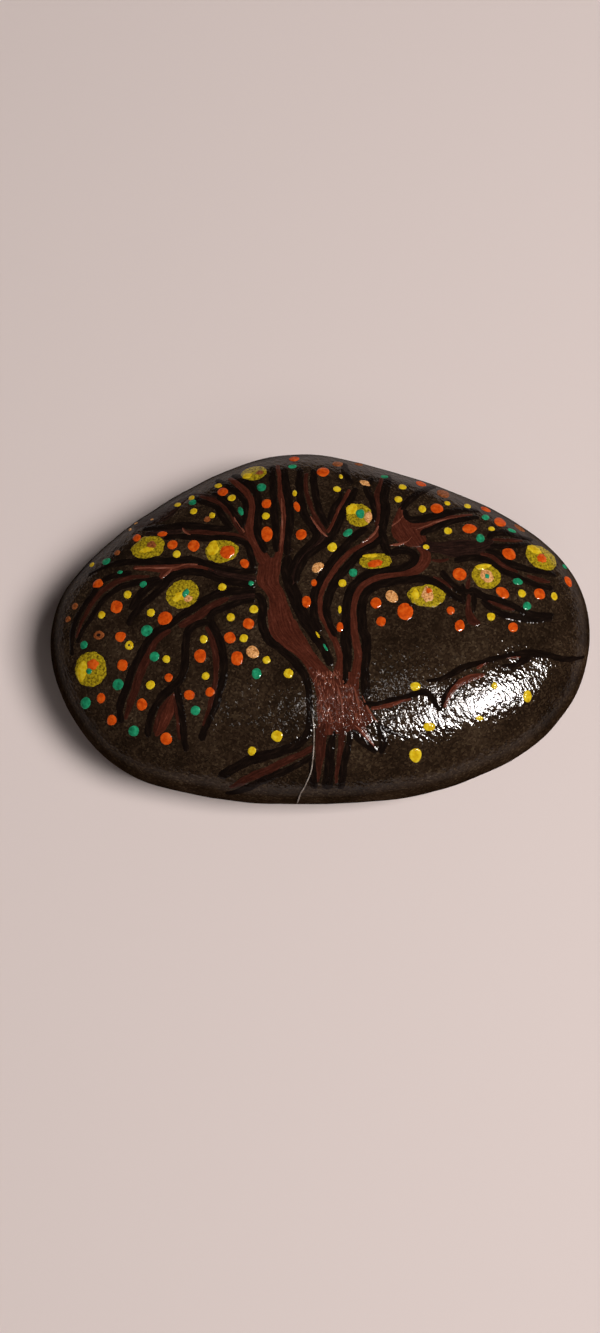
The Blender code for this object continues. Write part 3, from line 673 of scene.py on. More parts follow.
# Outlines, drawn last with a paint pen, as widths and points
ink = {
    "thickness": 0.05,
    "cuts": 9,
    "spread": 1.35,  # how much wider the ink ran than the typed widths
}
outlines = {
    "trunk_left": ("1 1.2 1.3 1.1 1.2 1.1 0.9 1 1.2",
        "-10.9 3.3, -9.9 2.3, -9.6 0.8, -9.85 -0.9, -9.5 -2.7, -8.7 -4.4, -7.1 -5.8, -5.5 -7.1, -4.2 -8.4,"
        "-3.1 -10, -2.3 -12, -2.1 -14, -2 -16.5, -2.2 -18.7, -2.8 -20.4"),
    "root_left_upper": ("1.1 1.4 1.5 1.5 1.4 1.3",
        "-2.4 -20, -4.6 -21.5, -6.8 -22.3, -9.1 -22.9, -11.4 -23.5, -13.3 -24.3, -15.3 -25.3, -16.8 -26.1"),
    "root_left_lower": ("0.8 1 1.2 1.2 1",
        "-1.4 -23, -3 -23.8, -5 -24.8, -7 -25.6, -8.8 -26.3, -10.8 -27.1, -12.9 -27.9, -15.9 -28.4"),
    "bough_upper": ("1 1 1.2 1.3 1.2 1 0.7",
        "-10.6 7.2, -13.4 7.1, -15.7 7.5, -18.4 8.3, -21.7 9.3, -25.1 9.3, -28.5 9.5, -31.9 9.6, -34.7 9.5,"
        "-37.2 8.9, -39.2 8.1"),
    "bough_lower": ("1 1.1 1.2 1.3 1.2 1.1 0.9",
        "-10.9 4.6, -13.7 5.1, -16.4 5.8, -19 6.8, -21.7 7.4, -23.7 7.1, -25 6.3, -26.4 4.6, -28.2 2.9,"
        "-29.8 1.3, -31.3 -0.4, -31.8 -1.6"),
    "bough_wedge": ("0.9 1.3 1.4 0.8", "-26.3 6, -28.4 5, -30 3.4, -31.4 1"),
    "outer_upper": ("0.8 1 1 1 0.7",
        "-31.4 7.5, -34.5 7.3, -36.6 6.4, -38 4.4, -39.5 2.4, -40.7 0.4, -41.4 -1.6, -41.5 -4.2, -41.3 -5.9"),
    "outer_lower": ("0.9 1 0.9 0.8 0.6",
        "-26.6 6.3, -29.7 5.8, -31.7 5.5, -33.4 5.1, -35 4, -36.7 2.3, -38.2 0.1, -39.5 -1.8, -40.5 -3.9"),
    "droop_outer": ("0.9 1.2 1.2 1.1 1.2 1.1 1.2 1",
        "-10.7 3.7, -13.1 3.7, -15.7 3.6, -17.6 3, -19.3 2.2, -20.9 1, -22.8 -0.3, -24.8 -1.6, -26.7 -2.6,"
        "-28 -3.9, -29 -5.3, -29.8 -6.8, -30.6 -8.4, -31.3 -9.9, -31.9 -11.9, -32.6 -13.4, -33 -15.3,"
        "-32.8 -17.4"),
    "droop_inner": ("0.8 1 1.2 1.2 1.1 1.1 1",
        "-10.9 2.3, -14 1.6, -16.3 0.8, -17.8 0.1, -18.1 -1.3, -17.2 -3.3, -16.3 -5.6, -15.9 -7.9, -16 -10.4,"
        "-16.5 -12.6, -17.1 -14.8, -18.1 -16.7, -19 -18.9, -19.6 -20.6"),
    "droop_middle": ("0.9 1.2 1.1 1.2 1.1 0.9",
        "-18.2 -1.4, -20.5 -1.8, -21.7 -2.8, -22.1 -4.5, -22.2 -6.7, -22.4 -9.3, -23.3 -11.2, -24.5 -12.2,"
        "-25.8 -13.2, -26.8 -14.5, -27.6 -16, -28.2 -18, -28.3 -19.8"),
    "droop_fork": ("1 1.1 1.1 0.8", "-23.5 -12, -23.1 -14.4, -22.8 -16.6, -22.5 -18.8, -22.2 -21, -22 -22.2"),
    "high_left": ("1 1.1 1.2 1.3 1.2 0.9",
        "-14.7 15, -16.5 14.8, -19.2 15.3, -21.3 15.6, -23.3 15.9, -25.4 15.8, -27.4 15.7, -30.2 16"),
    "low_left": ("0.9 1.1 1.2 1.1 1 0.8",
        "-11.2 7.6, -11.7 10.1, -12.3 11.8, -13.7 12.8, -16.5 13.1, -19.2 13.2, -21.9 13.6, -24.3 13.8,"
        "-26.3 13.7"),
    "left_limb_lower": ("1 1.1 1 1", "-15 14.9, -16.3 16.8, -17.3 18.8, -18.7 19.8, -20.5 20.7, -22 21.9"),
    "left_limb_upper": ("0.9 1 1.1 0.9", "-13.1 14.8, -14.3 17.1, -15.3 18.9, -16.7 20.7, -18.5 22.3"),
    "main_left": ("0.8 1 1.1 1.1 0.9",
        "-13 15.3, -12.7 17.4, -12.7 19.3, -13.4 21, -14.8 22.4, -16.2 23.5, -17.9 25.2"),
    "main_right": ("1.2 1.3 1.3 1.2 1.3 1.1",
        "-9.2 10.3, -10.1 12, -10.7 14.4, -10.6 16.8, -10.4 18.7, -10.8 21, -11.9 23.1, -13.5 24.6,"
        "-15.2 26"),
    "centre_left": ("0.9 1 1.1 1.1 1 0.9",
        "-7.4 10.4, -7.6 12.5, -7.7 15.2, -7.9 18.3, -8.1 21.5, -8.2 24.3, -8.3 27.5"),
    "centre_right": ("1 1.2 1.3 1.3 1.2 1",
        "-5.7 9.8, -5.7 12.5, -5.4 15.2, -5.3 17.6, -5.6 20.5, -6 23.2, -6.3 26.8"),
    "trunk_right": ("1.3 1.7 1.9 1.8 1.6 1.4 1.2",
        "-5.5 9.9, -5.8 7.3, -5.4 5.2, -4.6 3.3, -3.9 1.3, -3 -0.9, -1.7 -2.9, -0.4 -4.9, 0.8 -7.1,"
        "1.4 -8.8"),
    "vee_left": ("1.1 1.3 1.3 1.2 1.2 1.2 0.9",
        "-5.2 6.1, -4.4 8.4, -3 10.4, -1.5 11.9, -0.9 13.2, -1.4 14.9, -2.8 17, -3.3 18.9, -3.6 21.4,"
        "-3.7 24.2, -3.6 26.6"),
    "vee_right": ("1.1 1.3 1.2 1.3 1.2 0.9",
        "-4.4 5, -3.9 7.2, -2.9 9.3, -1.3 10.7, 0.5 11.9, 1.7 13.4, 2.7 15.5, 3.8 18, 5.1 20.6, 6 22.4"),
    "vee_mid_left": ("0.9 1 1.1 1.1 0.9", "0.9 14.9, 0 17, -0.8 19.5, -1.2 22.4, -1.3 26.3"),
    "vee_mid_right": ("0.7 0.9 0.9 0.6", "1.2 15.6, 1.9 18, 3 19.9, 3.5 21.6"),
    "rise_left": ("1.1 1.2 1.3 1.3 1.2 1.2 1",
        "-0.3 -3.2, -1.3 -0.8, -1.4 1.5, -1.1 3.4, -0.4 5.2, 0.8 7.4, 2.1 9.3, 3.5 11, 4.6 12.4, 6 13.7,"
        "7.6 14.6"),
    "rise_right": ("1 1.2 1.3 1.3 1.2 1",
        "2.2 -4, 0.9 -1.5, 0.7 0.7, 1.1 2.7, 1.9 4.8, 3.3 6.8, 4.7 8.4, 5.8 9.9, 7.2 11, 8.9 12.1, 10 13.4"),
    "north_left": ("0.9 1 1.2 1.1 0.9", "8.6 15.9, 8.7 18.1, 8.5 20.2, 7.8 21.7, 7.7 23.3, 8.7 24.9"),
    "block_left": ("1 1.4 1.5 1.5 1.4 1.3 1",
        "11.2 9.7, 10.4 11.5, 9.9 13.5, 10.2 16, 10.6 18.2, 10.5 20.5, 10.9 23, 11.5 25.7"),
    "top": ("0.9 1.2 0.9", "3.9 28.1, 4.2 25.4, 5.1 23.1"),
    "stem_right": ("1.2 1.3 1.3 1.4 1.3 1.3 1.3 1.2 1.1 0.9",
        "7 -14.2, 6.9 -11.5, 6.9 -9, 7.1 -6.5, 7.1 -4.4, 6.6 -2.7, 6.4 -0.4, 6.5 1.6, 7.3 3.4, 8.8 4.6,"
        "11.1 5.3, 13.9 5.6, 16.1 5.9, 18 5.5, 19.6 4.4, 21.2 3.2, 23.4 2.3"),
    "stem_left": ("1.1 1.4 1.5 1.4 1.3 1.2 1.3 1.2 1.1",
        "3.6 -11.8, 3.9 -9, 4 -6.5, 3.8 -4.4, 3.9 -1.5, 4.1 1.3, 4.6 3.5, 5.7 5.2, 7.3 6.5, 9.5 7.2,"
        "11.7 7.3, 13.8 7.9, 15.1 8.8, 15.2 10, 14 10.7, 12.4 10.6, 11.2 10"),
    "upper_right_top": ("0.9 1.3 1.5 1.3 1.1 0.9",
        "13.9 18.5, 14.2 16.9, 15.7 16.5, 18.4 17.1, 21.3 18.3, 24 19.2, 26.8 19.4"),
    "upper_right_limb": ("0.9 1.2 1.1 0.9", "13.2 18.3, 14.3 19.7, 15.8 21.4, 17.6 22.8, 19.5 24.2"),
    "upper_right_low": ("0.9 1.1 1.1 0.8", "16.4 13.6, 17.2 14.4, 18.8 15.2, 21.2 16.4, 23.8 17.3, 26.7 18"),
    "tip_upper": ("0.9 1.1 1.1 0.8", "27.8 13.6, 28.9 14.8, 31.2 15, 33.5 14.7, 35.9 14.6"),
    "tip_under": ("0.8 1 0.9 0.6", "28 12.2, 30.9 12.4, 33.3 12.9, 35.4 13.5"),
    "middle_upper": ("1 1.1 1.2 1.1 1 0.7",
        "27.2 11.3, 29.1 10.9, 30.7 9.5, 32.7 8.7, 35 8.3, 37.4 8.3, 39.4 7.8"),
    "middle_under": ("0.9 1.1 1.1 1 0.9 0.7",
        "21.8 9.1, 24.5 9.9, 26.5 9.8, 28.1 9, 29.5 7.9, 31.4 7.2, 32.9 6.6, 34.5 6, 36.6 5.5, 38.6 5.5"),
    "low_upper": ("0.9 1.1 1.2 1.1 1 0.8",
        "19.5 7.3, 21.5 4.8, 23.2 3.8, 24.8 3.9, 26.2 3.2, 28.1 2.6, 30.3 2, 32 1.4, 33.7 0.7, 36 0.4,"
        "38.4 0.7"),
    "low_under": ("0.8 1 1.1 1.2 0.9", "26 2.4, 27.5 1.3, 29.2 0.3, 31.7 -0.2, 34.5 -0.3, 38.2 0.1"),
    "twig_left": ("0.6 0.8 0.5", "23.1 5.2, 23.2 3.5, 23 1.6"),
    "twig_right": ("0.6 0.8 0.5", "24.9 3.8, 24.8 1.9, 24.7 0.3"),
    "ground": ("0.4 0.8 0.9 0.8 0.7 1.1 1.1 0.9 0.7 0.4",
        "16.8 -11.1, 19 -10.8, 20.9 -9.9, 23.1 -8.7, 25.5 -8, 27.7 -7.3, 31 -6.5, 34.5 -6, 37.6 -6.2,"
        "40.2 -6.5, 44.2 -5.4"),
    "ground_foot": ("0.9 0.6 0.7 0.7 0.8 0.9 0.9 0.5",
        "6.6 -14.7, 8.7 -14.9, 11.1 -14.2, 13.9 -13.5, 16.6 -12.9, 17.6 -13.7, 18.3 -14.7, 19.1 -15.9"),
    "ground_step": ("0.3 0.6 0.4 0.3", "19.3 -15.7, 19.6 -14.1, 20.5 -12.2, 22.1 -10.7"),
    "ground_wedge": ("0.3 0.7 1.1 0.7", "29.2 -8.3, 31.2 -8.2, 32.9 -7.3, 34.5 -6.3"),
    "root_far": ("0.8 0.6 0.3", "9.4 -18.4, 11.5 -19.4, 14 -20.2"),
    "root_gap": ("0.8 1.3 1.5 1.6", "1.9 -19, 1.3 -22, 1.1 -25, 0.8 -27.9"),
    "root_right": ("0.7 1 1.1 0.9", "4.6 -19, 3.9 -22.5, 3.4 -25, 3 -27.8"),
    "root_side": ("0.8 1 1.1 1.1", "-1.7 -23.2, -1.6 -25.3, -1.2 -27.8"),
    "root_short_left": ("0.8 1.2 1.2 0.9", "4.7 -18.9, 6 -20.2, 7.4 -21.3, 8.9 -22.3"),
    "root_short_right": ("0.8 1.2 1.2 0.8", "9.1 -18, 9.6 -19.6, 9.8 -21, 9.4 -22.6"),
}
for key, (width, path) in outlines.items():
    name = "outline_" + key
    piece = layStroke(name, width, path, **ink)
    handOver(piece, "mattInk" if "ground" in key else "ink", "ink_outline", *solidsOf(name, "ink_"))
print("outlines drawn:", len(outlines))

dab = {
    "rings": (0.3, 0.55, 0.75, 0.9, 0.98, 1.02),
    "columns": 28,
    "waves": (2, 3, 4),
    "wobble": 0.025,
    "undersideShare": 0.93,
    "dip": 0.02,  # of the very middle
    "marks": ((9.1, 5.3), (8.3, 4.7)),  # how often the stippling brush's marks come, one way and the other
    "markBend": 3,
    "seed": 5,
}


# Places of dabs, typed as "x y length", then the width if it isn't round, then the turn in degrees
def placesOf(text):
    rows = []
    for x, y, length, *rest in pointsOf(text):
        rows.append([x, y, length, *rest, *[length, 0.0][len(rest):]])
    return np.array(rows)


# Dabs of paint, closed low domes set side by side: each ring stands at share r of the outline, at the height
# thickness (1 - r^4); the outline wobbles by random waves around it, and sits over its place on the plan
def layDabs(name, places, thickness, wobble=dab["wobble"], waves=dab["waves"], rings=dab["rings"],
            columns=dab["columns"], rough=0.0):
    shares = np.array(rings)
    dice = np.random.default_rng(dab["seed"] + sum(map(ord, name)))
    x, y, length, width, turn = places.T[..., None]
    angle = np.linspace(0, 2 * np.pi, columns, endpoint=False)[None]
    outline = np.ones((len(x), columns))
    for wave in waves:
        amount = dice.normal(0, wobble / math.sqrt(wave / 2), x.shape)
        outline += amount * np.cos(wave * angle + dice.uniform(0, 2 * np.pi, x.shape))
    along = length / 2 * outline * np.cos(angle)
    aside = width / 2 * outline * np.sin(angle)
    turn = np.radians(turn)
    reachX = along * np.cos(turn) - aside * np.sin(turn)
    reachY = along * np.sin(turn) + aside * np.cos(turn)
    allShares = np.concatenate([shares, [shares[-1] * dab["undersideShare"]]])
    planX = x[:, :, None] + reachX[:, None] * allShares[None, :, None]
    planY = y[:, :, None] + reachY[:, None] * allShares[None, :, None]
    heights = (thickness + film["sunk"]) * (1 - shares**4) - film["sunk"]
    heights = np.concatenate([heights, [-film["bed"]]])[None, :, None] + 0 * planX
    if rough:
        # marks of the stippling brush: two crossed sines, each bent by a sine of the other direction
        (a, b), (c, d) = dab["marks"]
        bentY = dab["markBend"] * np.sin(planY * b)
        bentX = dab["markBend"] * np.sin(planX * d)
        bumps = np.sin(planX * a + bentY) * np.sin(planY * c + bentX)
        heights[:, :-1] += rough * bumps[:, :-1] * (1 - allShares[:-1, None] ** 4)
    rings3d = liftOff(np.stack([planX, planY, overPlan(planX, planY)], axis=-1), heights)
    centre = np.stack([x, y, overPlan(x, y)], axis=-1)[:, 0]
    top = liftOff(centre, np.full(len(centre), thickness - dab["dip"]))
    bottom = liftOff(centre, np.full(len(centre), -film["bed"]))
    return closedSkin(name, top, rings3d, bottom)


bloom = {
    "thickness": 0.12,
    "wobble": 0.022,
    "waves": (2, 3, 4, 5, 7, 9, 11, 14, 17),
    "rings": (0.12, 0.25, 0.38, 0.5, 0.61, 0.71, 0.8, 0.87, 0.93, 0.97, 1.0, 1.02),
    "columns": 90,
    "rough": 0.02,
}
blossoms = {
    "far_left": "-38 -8.4 5.9 5.7",
    "left_high": "-28.9 12.1 5.9 4.4 10",
    "left_middle": "-22.8 3.4 5.7 5.1 15",
    "left_inner": "-16.5 10.8 5.7 4.3 8",
    "top_left": "-11.5 25.9 4.7 3.5 12",
    "top_right": "6.2 17.1 4.6 4.4 20",
    "centre_right": "8.8 8.8 5.4 3 5",
    "low_right": "17.1 2.95 6.5 3.9",
    "right": "27.1 6.7 5 4.7",
    "far_right": "37 11 5.6 5.1 -20",
}
for key, place in blossoms.items():
    handOver(layDabs("bloom_" + key, placesOf(place), **bloom), "blossom", "blossom_paint", "blossom_" + key)

# What is set on the blossoms, bright yellow to one side and then a heart of orange, green or cream:
# the finish, thickness, wobble, waves around the outline and places
bloomDabs = {
    "lights": ("yellow", 0.16, 0.07, (2, 3, 4, 5, 6, 7),
        "-39.3 -8.5 2.3 4.2 0, -23.2 3 2.8 2.6 20, -12.5 25.4 2.2 1.7 10, -17.8 11.2 2.6 3 -10,"
        "5.1 18 2.2 2.7 -30, 8.1 9.7 2.7 0.9 5, 26.6 8.3 2.7 1.2 10, 36 12.3 3.2 1.9 -25,"
        "15.3 3.1 1.7 2.1 10, -29.1 11.6 3.2 1.5 8"),
    "hearts_cream": ("peach", 0.24, 0.06, (2, 3, 5, 7),
        "17.2 3.1 2.4 2.9, 27.15 6.65 2.7, 7.7 16.8 1.4 2.3 -10, -21.9 2.6 1.7 1.4 20"),
    "hearts_orange": ("orange", 0.29, 0.07, (2, 3, 5, 7),
        "-37.6 -7.7 2.3 2, -15.6 10.6 2.9 2.5 20, 8.7 8.4 2.8 1.5 10, 17.35 3.7 1.3, 37 10.8 1.9 2.2 -20"),
    "hearts_muted": ("fadedOrange", 0.21, 0.06, (2, 3, 4),
        "-28.3 12.5 1.9 1.7, -10.5 25.8 1.6 1.2"),
    "hearts_green": ("green", 0.32, 0.05, (2, 3, 4),
        "-38.2 -8.7 1.15, -22.3 3.5 1.2 1.8 -20, 6.4 17.3 1.7 2, 27.15 6.6 1.1 1.3"),
}
# The slot name of each colour of dab
slots = {
    "orange": "orange_paint",
    "fadedOrange": "orange_paint",
    "yellow": "yellow_paint",
    "green": "green_paint",
    "peach": "peach_paint",
    "darkBark": "bark_paint",
}
for key, (finish, thickness, wobble, waves, places) in bloomDabs.items():
    handOver(layDabs("bloom_" + key, placesOf(places), thickness, wobble, waves), finish, slots[finish])
print("blossoms stippled:", len(blossoms))

# Short ridges of thick paint where the trunk spreads into its roots, coloured pale pinkish umber so that they
# also stand as painted glints of the varnish on the brushy paint
footGlintRidges = {
    "count": 120,
    "heights": (-9.4, -12.6, -18.2),  # where the two sides are given
    "leftSide": (-1.9, -0.6, -0.5),
    "rightSide": (2.2, 5.4, 6.3),
    "length": 0.95,
    "lengths": (0.5, 1.5),  # range, as shares of it
    "width": 0.3,
    "widths": (0.7, 1.3),
    "turn": 80,  # degrees from +X at the leftmost
    "lean": 35,  # degrees more at the rightmost
    "unruly": 8,  # degrees either way
    "thickness": 0.085,
    "wobble": 0.06,
    "rings": (0.6, 1.0),
    "columns": 8,
    "seed": 12,
}


# Ridges set down at random between the two sides, each leaning outwards by how far across it is, as rows of
# x, y, length, width and turn
def scatterGlintRidges():
    dice = np.random.default_rng(footGlintRidges["seed"])
    count = footGlintRidges["count"]
    heights = footGlintRidges["heights"][::-1]
    y = dice.uniform(heights[0], heights[-1], count)
    across = dice.uniform(0, 1, count)
    left = np.interp(y, heights, footGlintRidges["leftSide"][::-1])
    right = np.interp(y, heights, footGlintRidges["rightSide"][::-1])
    x = left + (right - left) * across
    length = footGlintRidges["length"] * dice.uniform(*footGlintRidges["lengths"], count)
    width = footGlintRidges["width"] * dice.uniform(*footGlintRidges["widths"], count)
    turn = footGlintRidges["turn"] + footGlintRidges["lean"] * across + dice.normal(0, footGlintRidges["unruly"], count)
    return np.stack([x, y, length, width, turn], axis=1)


glintRidgeShape = {key: footGlintRidges[key] for key in ("thickness", "wobble", "rings", "columns")}
# the ridges' pale colour is a painted glint
handOver(layDabs("bark_foot_ridges", scatterGlintRidges(), **glintRidgeShape), "dryBark", "bark_paint")

# Loose dots by colour: the finish, thickness, wobble, places and the solids that they stand for
dots = {
    "orange": ("orange", 0.11, 0.025, ("dot_orange_right", "dot_orange_left"),
        "-31 14.2 1.5, -26.6 14.5 1.8 1.1, -24.8 12.3 1.8, -21.2 11.9 2.1, -37.2 6.1 2 1.7 30, -33.8 1.7 2.2,"
        "-25.6 -0.7 2.5, -33 -3.4 1.8, -32.6 -8.1 1.9, -36.2 -13.2 1.5 1.7, -34.4 -16.8 1.7,"
        "-29.3 -14.6 1.8 2, -24.9 -10.4 1.4, -25.3 -20.1 2, -16.7 22.2 1.9, -9.2 19.3 1.8, -9.1 13.7 2 2.9,"
        "-12.7 8.5 1.4 1.8 30, -11.95 -1.8 1.9, -14.95 -4.1 1.95, -19.75 -7 2.15, -13.75 -7.5 2 2.45,"
        "-21.5 -13.3 1.85 1.65, -18.1 -12.9 1.6, -4.1 18.6 1.1 2 20, -3.4 13.5 1.9, -4.6 29 1.9 1.4,"
        "0.3 25.6 2.1 2.2, 17.05 24.4 1.9 1.5 -20, 19.4 18.95 2.2, 28.1 20 1.9 1.2 -25, 30.3 17.35 2.2 2.1,"
        "24.75 15.4 2.6 1.9 10, 22.6 6.8 2.4 2.3, 31.2 10.95 2.4, 41.6 7.2 1.4 2 20, 36.1 4.15 2.05 2,"
        "29.7 3.9 2.5 1.8 -35, 31.25 -1.9 1.7, 20.95 0.55 1.4, 22.4 -1.95 1.7 2, 13.5 0.25 2.7 2.95,"
        "8.75 1.65 1.8 1.95, 9.55 -1.45 1.6 1.7, 2.9 -2.4 1.2 1.7, -1.3 5 1.05 1.3, -2.55 1.8 1.6 2.1"),
    "faded_orange": ("fadedOrange", 0.09, 0.025, (),
        "-34.3 11.7 1.15, -41.2 2.6 1.2, -36.7 -2.9 2 1.5, -19.1 16.8 1.2, 2.9 27.7 2 1.5, 6.5 28.2 1.6 1,"
        "20.8 22.5 2.4 2.2, 33.9 16.9 2.2 1.3 -30, -42.4 0.5 1.1"),
    "yellow": ("yellow", 0.11, 0.025, ("dot_yellow_left",),
        "-24 10.5 1.4, -38.8 10.2 1, -32 3.7 1.4, -36.3 0.5 1.3, -28 0.4 1.4, -31.5 -4.9 1.5, -25.3 -7.4 1.3,"
        "-27.9 -11.5 1.5, -17.5 23.7 1.4 1.1, -15.1 20.8 1.4, -22 21.6 1.2, -24.4 20.4 1.4 1.1,"
        "-21.5 18.6 1.3, -18.3 17.5 1.15, -9.3 17 1.35, -16.3 4.4 1.4, -11.1 0.6 1.45, -14.85 -0.7 1.4,"
        "-12.7 -4.2 1.4, -19.2 -4.3 1.35, -9 -7.8 1.3, -5.45 -10 1.6, -18.85 -10.3 1.3, -4.5 21.2 0.8 1.3,"
        "-7.3 -19.9 1.9 1.8, -11.35 -22.2 1.4, 3.3 24.7 0.7 1, 2.6 22 1.35 1.2, 1.7 11.2 1.6 1.7, 3.3 5 1.4,"
        "2.85 0.5 0.6 1.35, -0.75 -3.7 0.45 1.4 30, 13.75 23.1 1.4 1.2, 12.9 20.4 1.4 1.3,"
        "16.9 18.7 1.35 1.5, 21.3 20.3 1.1 1, 24.85 20.2 1.3 1.1, 28.6 15.7 1.2 1, 21.05 14.7 1.4,"
        "17.2 11.5 1.3 1, 33 3.95 1.4, 38.7 4 1.15 1.5, 27.6 -0.3 1.4, 15 -12 1.65 1.5, 28 -11.6 1.1,"
        "33.6 -13 1.5 2, 17.3 -18.35 2 1.4, 25.5 -16.8 1.3 0.8, 15.1 -22.75 2.1 2.2"),
    "green": ("green", 0.11, 0.025, ("dot_green_left",),
        "-36.1 10.2 1.5, -33.5 7.8 1.1 0.7, -29.4 5.4 1.3, -28.6 -2.6 2, -39.3 -4.3 1.4, -33.3 -11.2 1.9,"
        "-38.9 -13.7 1.9, -30.7 -18.7 1.8, -27.3 -6.9 1.7, -21.8 20.6 1.4, -13.5 18.1 0.9 1.8 20,"
        "-10.1 22.6 1.7, -11.6 5 1, -10.6 -10 1.6 1.85, -20.5 -15.8 1.6, -4.9 27 1.6 1, 4.3 13.8 1.9 1.2 40,"
        "5.1 6.8 1.4 1.5, 10.8 25.2 1.5 0.8, 27.8 18.05 1.4 1.2, 32.2 15.8 1.6 0.8 -15, 26.5 13.65 1.5 1.7,"
        "41.4 10.2 1, 32.4 6.05 1.8 1.3, 33.8 1.85 1.5, 0.5 -5.75 0.45 1.6 30"),
    "peach": ("peach", 0.11, 0.08, ("dot_peach_right",),
        "-32.5 16.4 0.6, -31.6 17.7 0.7 0.5, -28.7 17.8 0.7 0.4, -11.25 -6.5 2.4 1.9 -40, 7.4 23.5 2 1.2 -25,"
        "-0.7 7.7 2 1.8, 11.35 2.75 2.4 1.9 -50"),
    "brown_centres": ("darkBark", 0.14, 0.025, (),
        "-31.5 -4.9 0.6, -36.7 -2.9 1 0.7, -5 10.8 0.55, 14.4 1.3 0.7 0.5 -30"),
}
for key, (finish, thickness, wobble, nodes, places) in dots.items():
    handOver(layDabs("dots_" + key, placesOf(places), thickness, wobble), finish, slots[finish], *nodes)
print("dots set in", len(dots), "colours")

bristle = {
    "radius": 0.11,
    "height": 0.2,  # of its middle over the stone
    "sides": 8,
    "stations": 90,
    "taper": 2.0,  # length over which each end thins
    "tipShare": 0.3,  # of the radius
    "tip": 0.05,  # how far the closing point stands out
    "path":
        "-1.7 -16.3, -1.4 -18.4, -1.35 -20.1, -1.4 -21.8, -1.55 -23.4, -1.8 -25.1, -2.3 -26.3, -3 -27.6,"
        "-3.6 -28.5, -4.2 -29.9 12"
}


# A fine tube along the bristle's line: circles of its radius, square to the line, thinning towards both ends
def makeBristle():
    curve, run = smoothLine(bristle["path"])
    distance = np.linspace(0, run[-1], bristle["stations"])
    foot = pointsAt(distance, run, curve)
    centre = liftOff(foot, np.full(len(foot), bristle["height"]))
    ahead = np.gradient(centre, axis=0)
    ahead /= np.linalg.norm(ahead, axis=1, keepdims=True)
    up = outward(foot)
    side = np.cross(up, ahead)
    turn = np.linspace(0, 2 * np.pi, bristle["sides"], endpoint=False)[None, :, None]
    share = np.clip(np.minimum(distance, run[-1] - distance) / bristle["taper"], bristle["tipShare"], 1)
    radius = bristle["radius"] * share[:, None, None]
    rings = centre[:, None] + radius * (np.cos(turn) * side[:, None] + np.sin(turn) * up[:, None])
    tip = ahead * bristle["tip"]
    return closedSkin("stray_bristle", centre[:1] - tip[:1], rings[None], centre[-1:] + tip[-1:])


handOver(makeBristle(), "bristle")
print("bristle laid")

studio = {
    "floorSize": 3.0,
    "floorColour": "#e6d9d6",
    "floorRoughness": 0.9,
    "lampDistance": 1.0,
    "lampColour": (1.0, 0.95, 0.92),
    # aim in degrees from +X and above the floor, size, power, slide, heading of its length, what can't see it
    "lamps": {
        "glare_softbox_0": ((-28, 56), (0.37, 0.165), 9.6, 0.005, (0.83, 0.02, -0.55), "diffuse"),
        "glare_softbox_1": ((-28, 57), (0.18, 0.11), 5.5, 0.06, (0.83, 0.02, -0.55), "diffuse"),
        "glare_softbox_2": ((-68, 79), (0.04, 0.07), 0.16, 0.0, (0.83, 0.02, -0.55), "diffuse"),
        "key_softbox": ((-15, 61.5), (0.36, 0.36), 8.9, 0.0, (0, 1, 0), "glossy"),
        "fill_softbox": ((-75, 45), (0.5, 0.3), 0.7, 0.0, (1, 0, 0), "glossy"),
    },
    "skyColour": "#ffe9dc",
    "skyStrength": 0.03,
    "cameraTilt": 12,  # degrees from straight down
    "cameraDistance": 0.23,
    "cameraAim": (-0.0036, -0.0061, 0.0107),
    "lens": 36.3,
    "sensor": 36,
    "clipStart": 0.01,
}


# Unit vector at a bearing from +X and an elevation, in degrees
def bearing(azimuth, elevation):
    a = math.radians(azimuth)
    e = math.radians(elevation)
    return np.array([math.cos(a) * math.cos(e), math.sin(a) * math.cos(e), math.sin(e)])


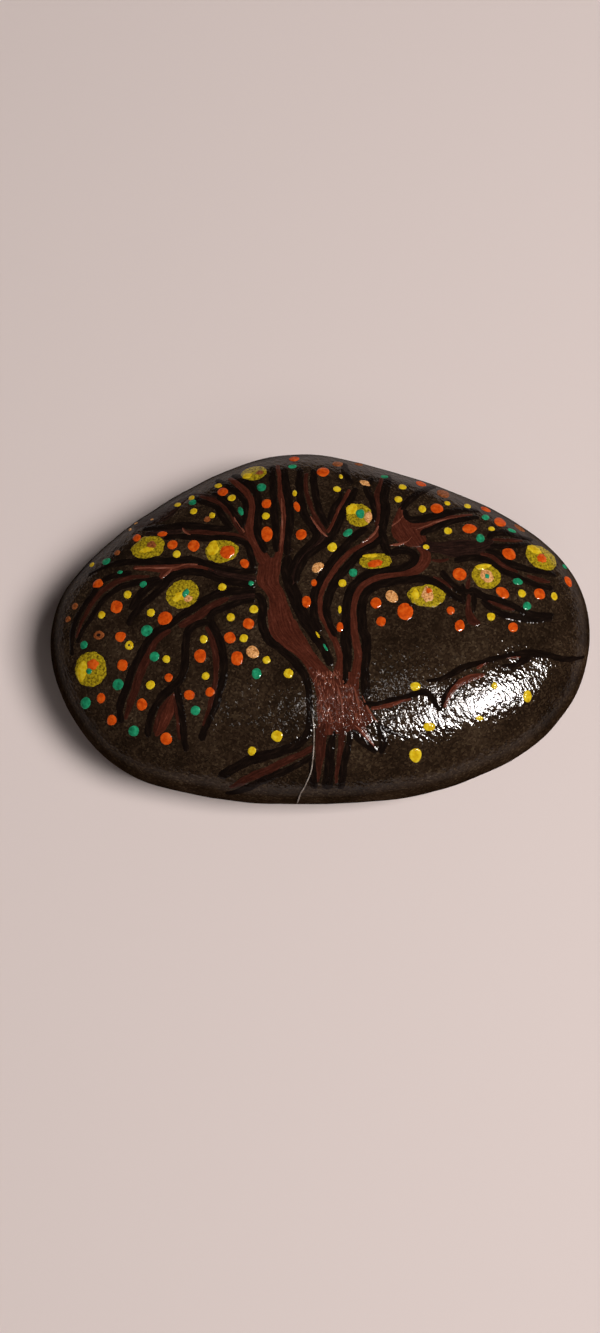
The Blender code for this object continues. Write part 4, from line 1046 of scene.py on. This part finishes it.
# A rectangular lamp at a bearing from the origin, slid along its length and facing straight back. Its axes
# are lengthways, crossways and back. Glare lamps show only in the varnish, and the others never do
def hangLamp(name, aim, size, power, slide, heading, unseenBy):
    light = bpy.data.lights.new(name, "AREA")
    light.shape = "RECTANGLE"
    light.size, light.size_y = size
    light.energy = power
    light.color = studio["lampColour"]
    lamp = bpy.data.objects.new(name, light)
    back = bearing(*aim)
    lengthways = heading - back * (heading @ back)
    lengthways /= np.linalg.norm(lengthways)
    axes = np.stack([lengthways, np.cross(back, lengthways), back], axis=1)
    place = back * studio["lampDistance"] + lengthways * slide
    lamp.matrix_world = Matrix([(*row, at) for row, at in zip(axes, place)] + [(0, 0, 0, 1)])
    lamp.visible_diffuse = unseenBy != "diffuse"
    lamp.visible_glossy = unseenBy != "glossy"
    bpy.context.scene.collection.objects.link(lamp)


# A plain pale floor, the lamps, a dim warm sky and the camera
def makeStudio():
    half = studio["floorSize"] / 2
    mesh = bpy.data.meshes.new("studio_floor")
    corners = [(-half, -half, 0), (half, -half, 0), (half, half, 0), (-half, half, 0)]
    mesh.from_pydata(corners, [], [(0, 1, 2, 3)])
    floor = bpy.data.objects.new("studio_floor", mesh)
    bpy.context.scene.collection.objects.link(floor)
    paper = bpy.data.materials.new("pale_paper")
    paper.use_nodes = True
    shader = paper.node_tree.nodes["Principled BSDF"]
    shader.inputs["Base Color"].default_value = linearColour(studio["floorColour"])
    shader.inputs["Roughness"].default_value = studio["floorRoughness"]
    mesh.materials.append(paper)
    for name, (aim, size, power, slide, heading, unseenBy) in studio["lamps"].items():
        hangLamp(name, aim, size, power, slide, np.array(heading, float), unseenBy)
    world = bpy.data.worlds.new("dim_room")
    world.use_nodes = True
    sky = world.node_tree.nodes["Background"]
    sky.inputs["Color"].default_value = linearColour(studio["skyColour"])
    sky.inputs["Strength"].default_value = studio["skyStrength"]
    bpy.context.scene.world = world
    bpy.context.scene.view_settings.view_transform = "Standard"
    lens = bpy.data.cameras.new("camera")
    lens.lens = studio["lens"]
    lens.sensor_width = studio["sensor"]
    lens.clip_start = studio["clipStart"]
    camera = bpy.data.objects.new("camera", lens)
    tilt = math.radians(studio["cameraTilt"])
    aim = studio["cameraAim"]
    reach = studio["cameraDistance"]
    camera.location = (aim[0], aim[1] - reach * math.sin(tilt), aim[2] + reach * math.cos(tilt))
    camera.rotation_euler = (tilt, 0, 0)
    bpy.context.scene.collection.objects.link(camera)
    bpy.context.scene.camera = camera


makeStudio()
print("studio lit")
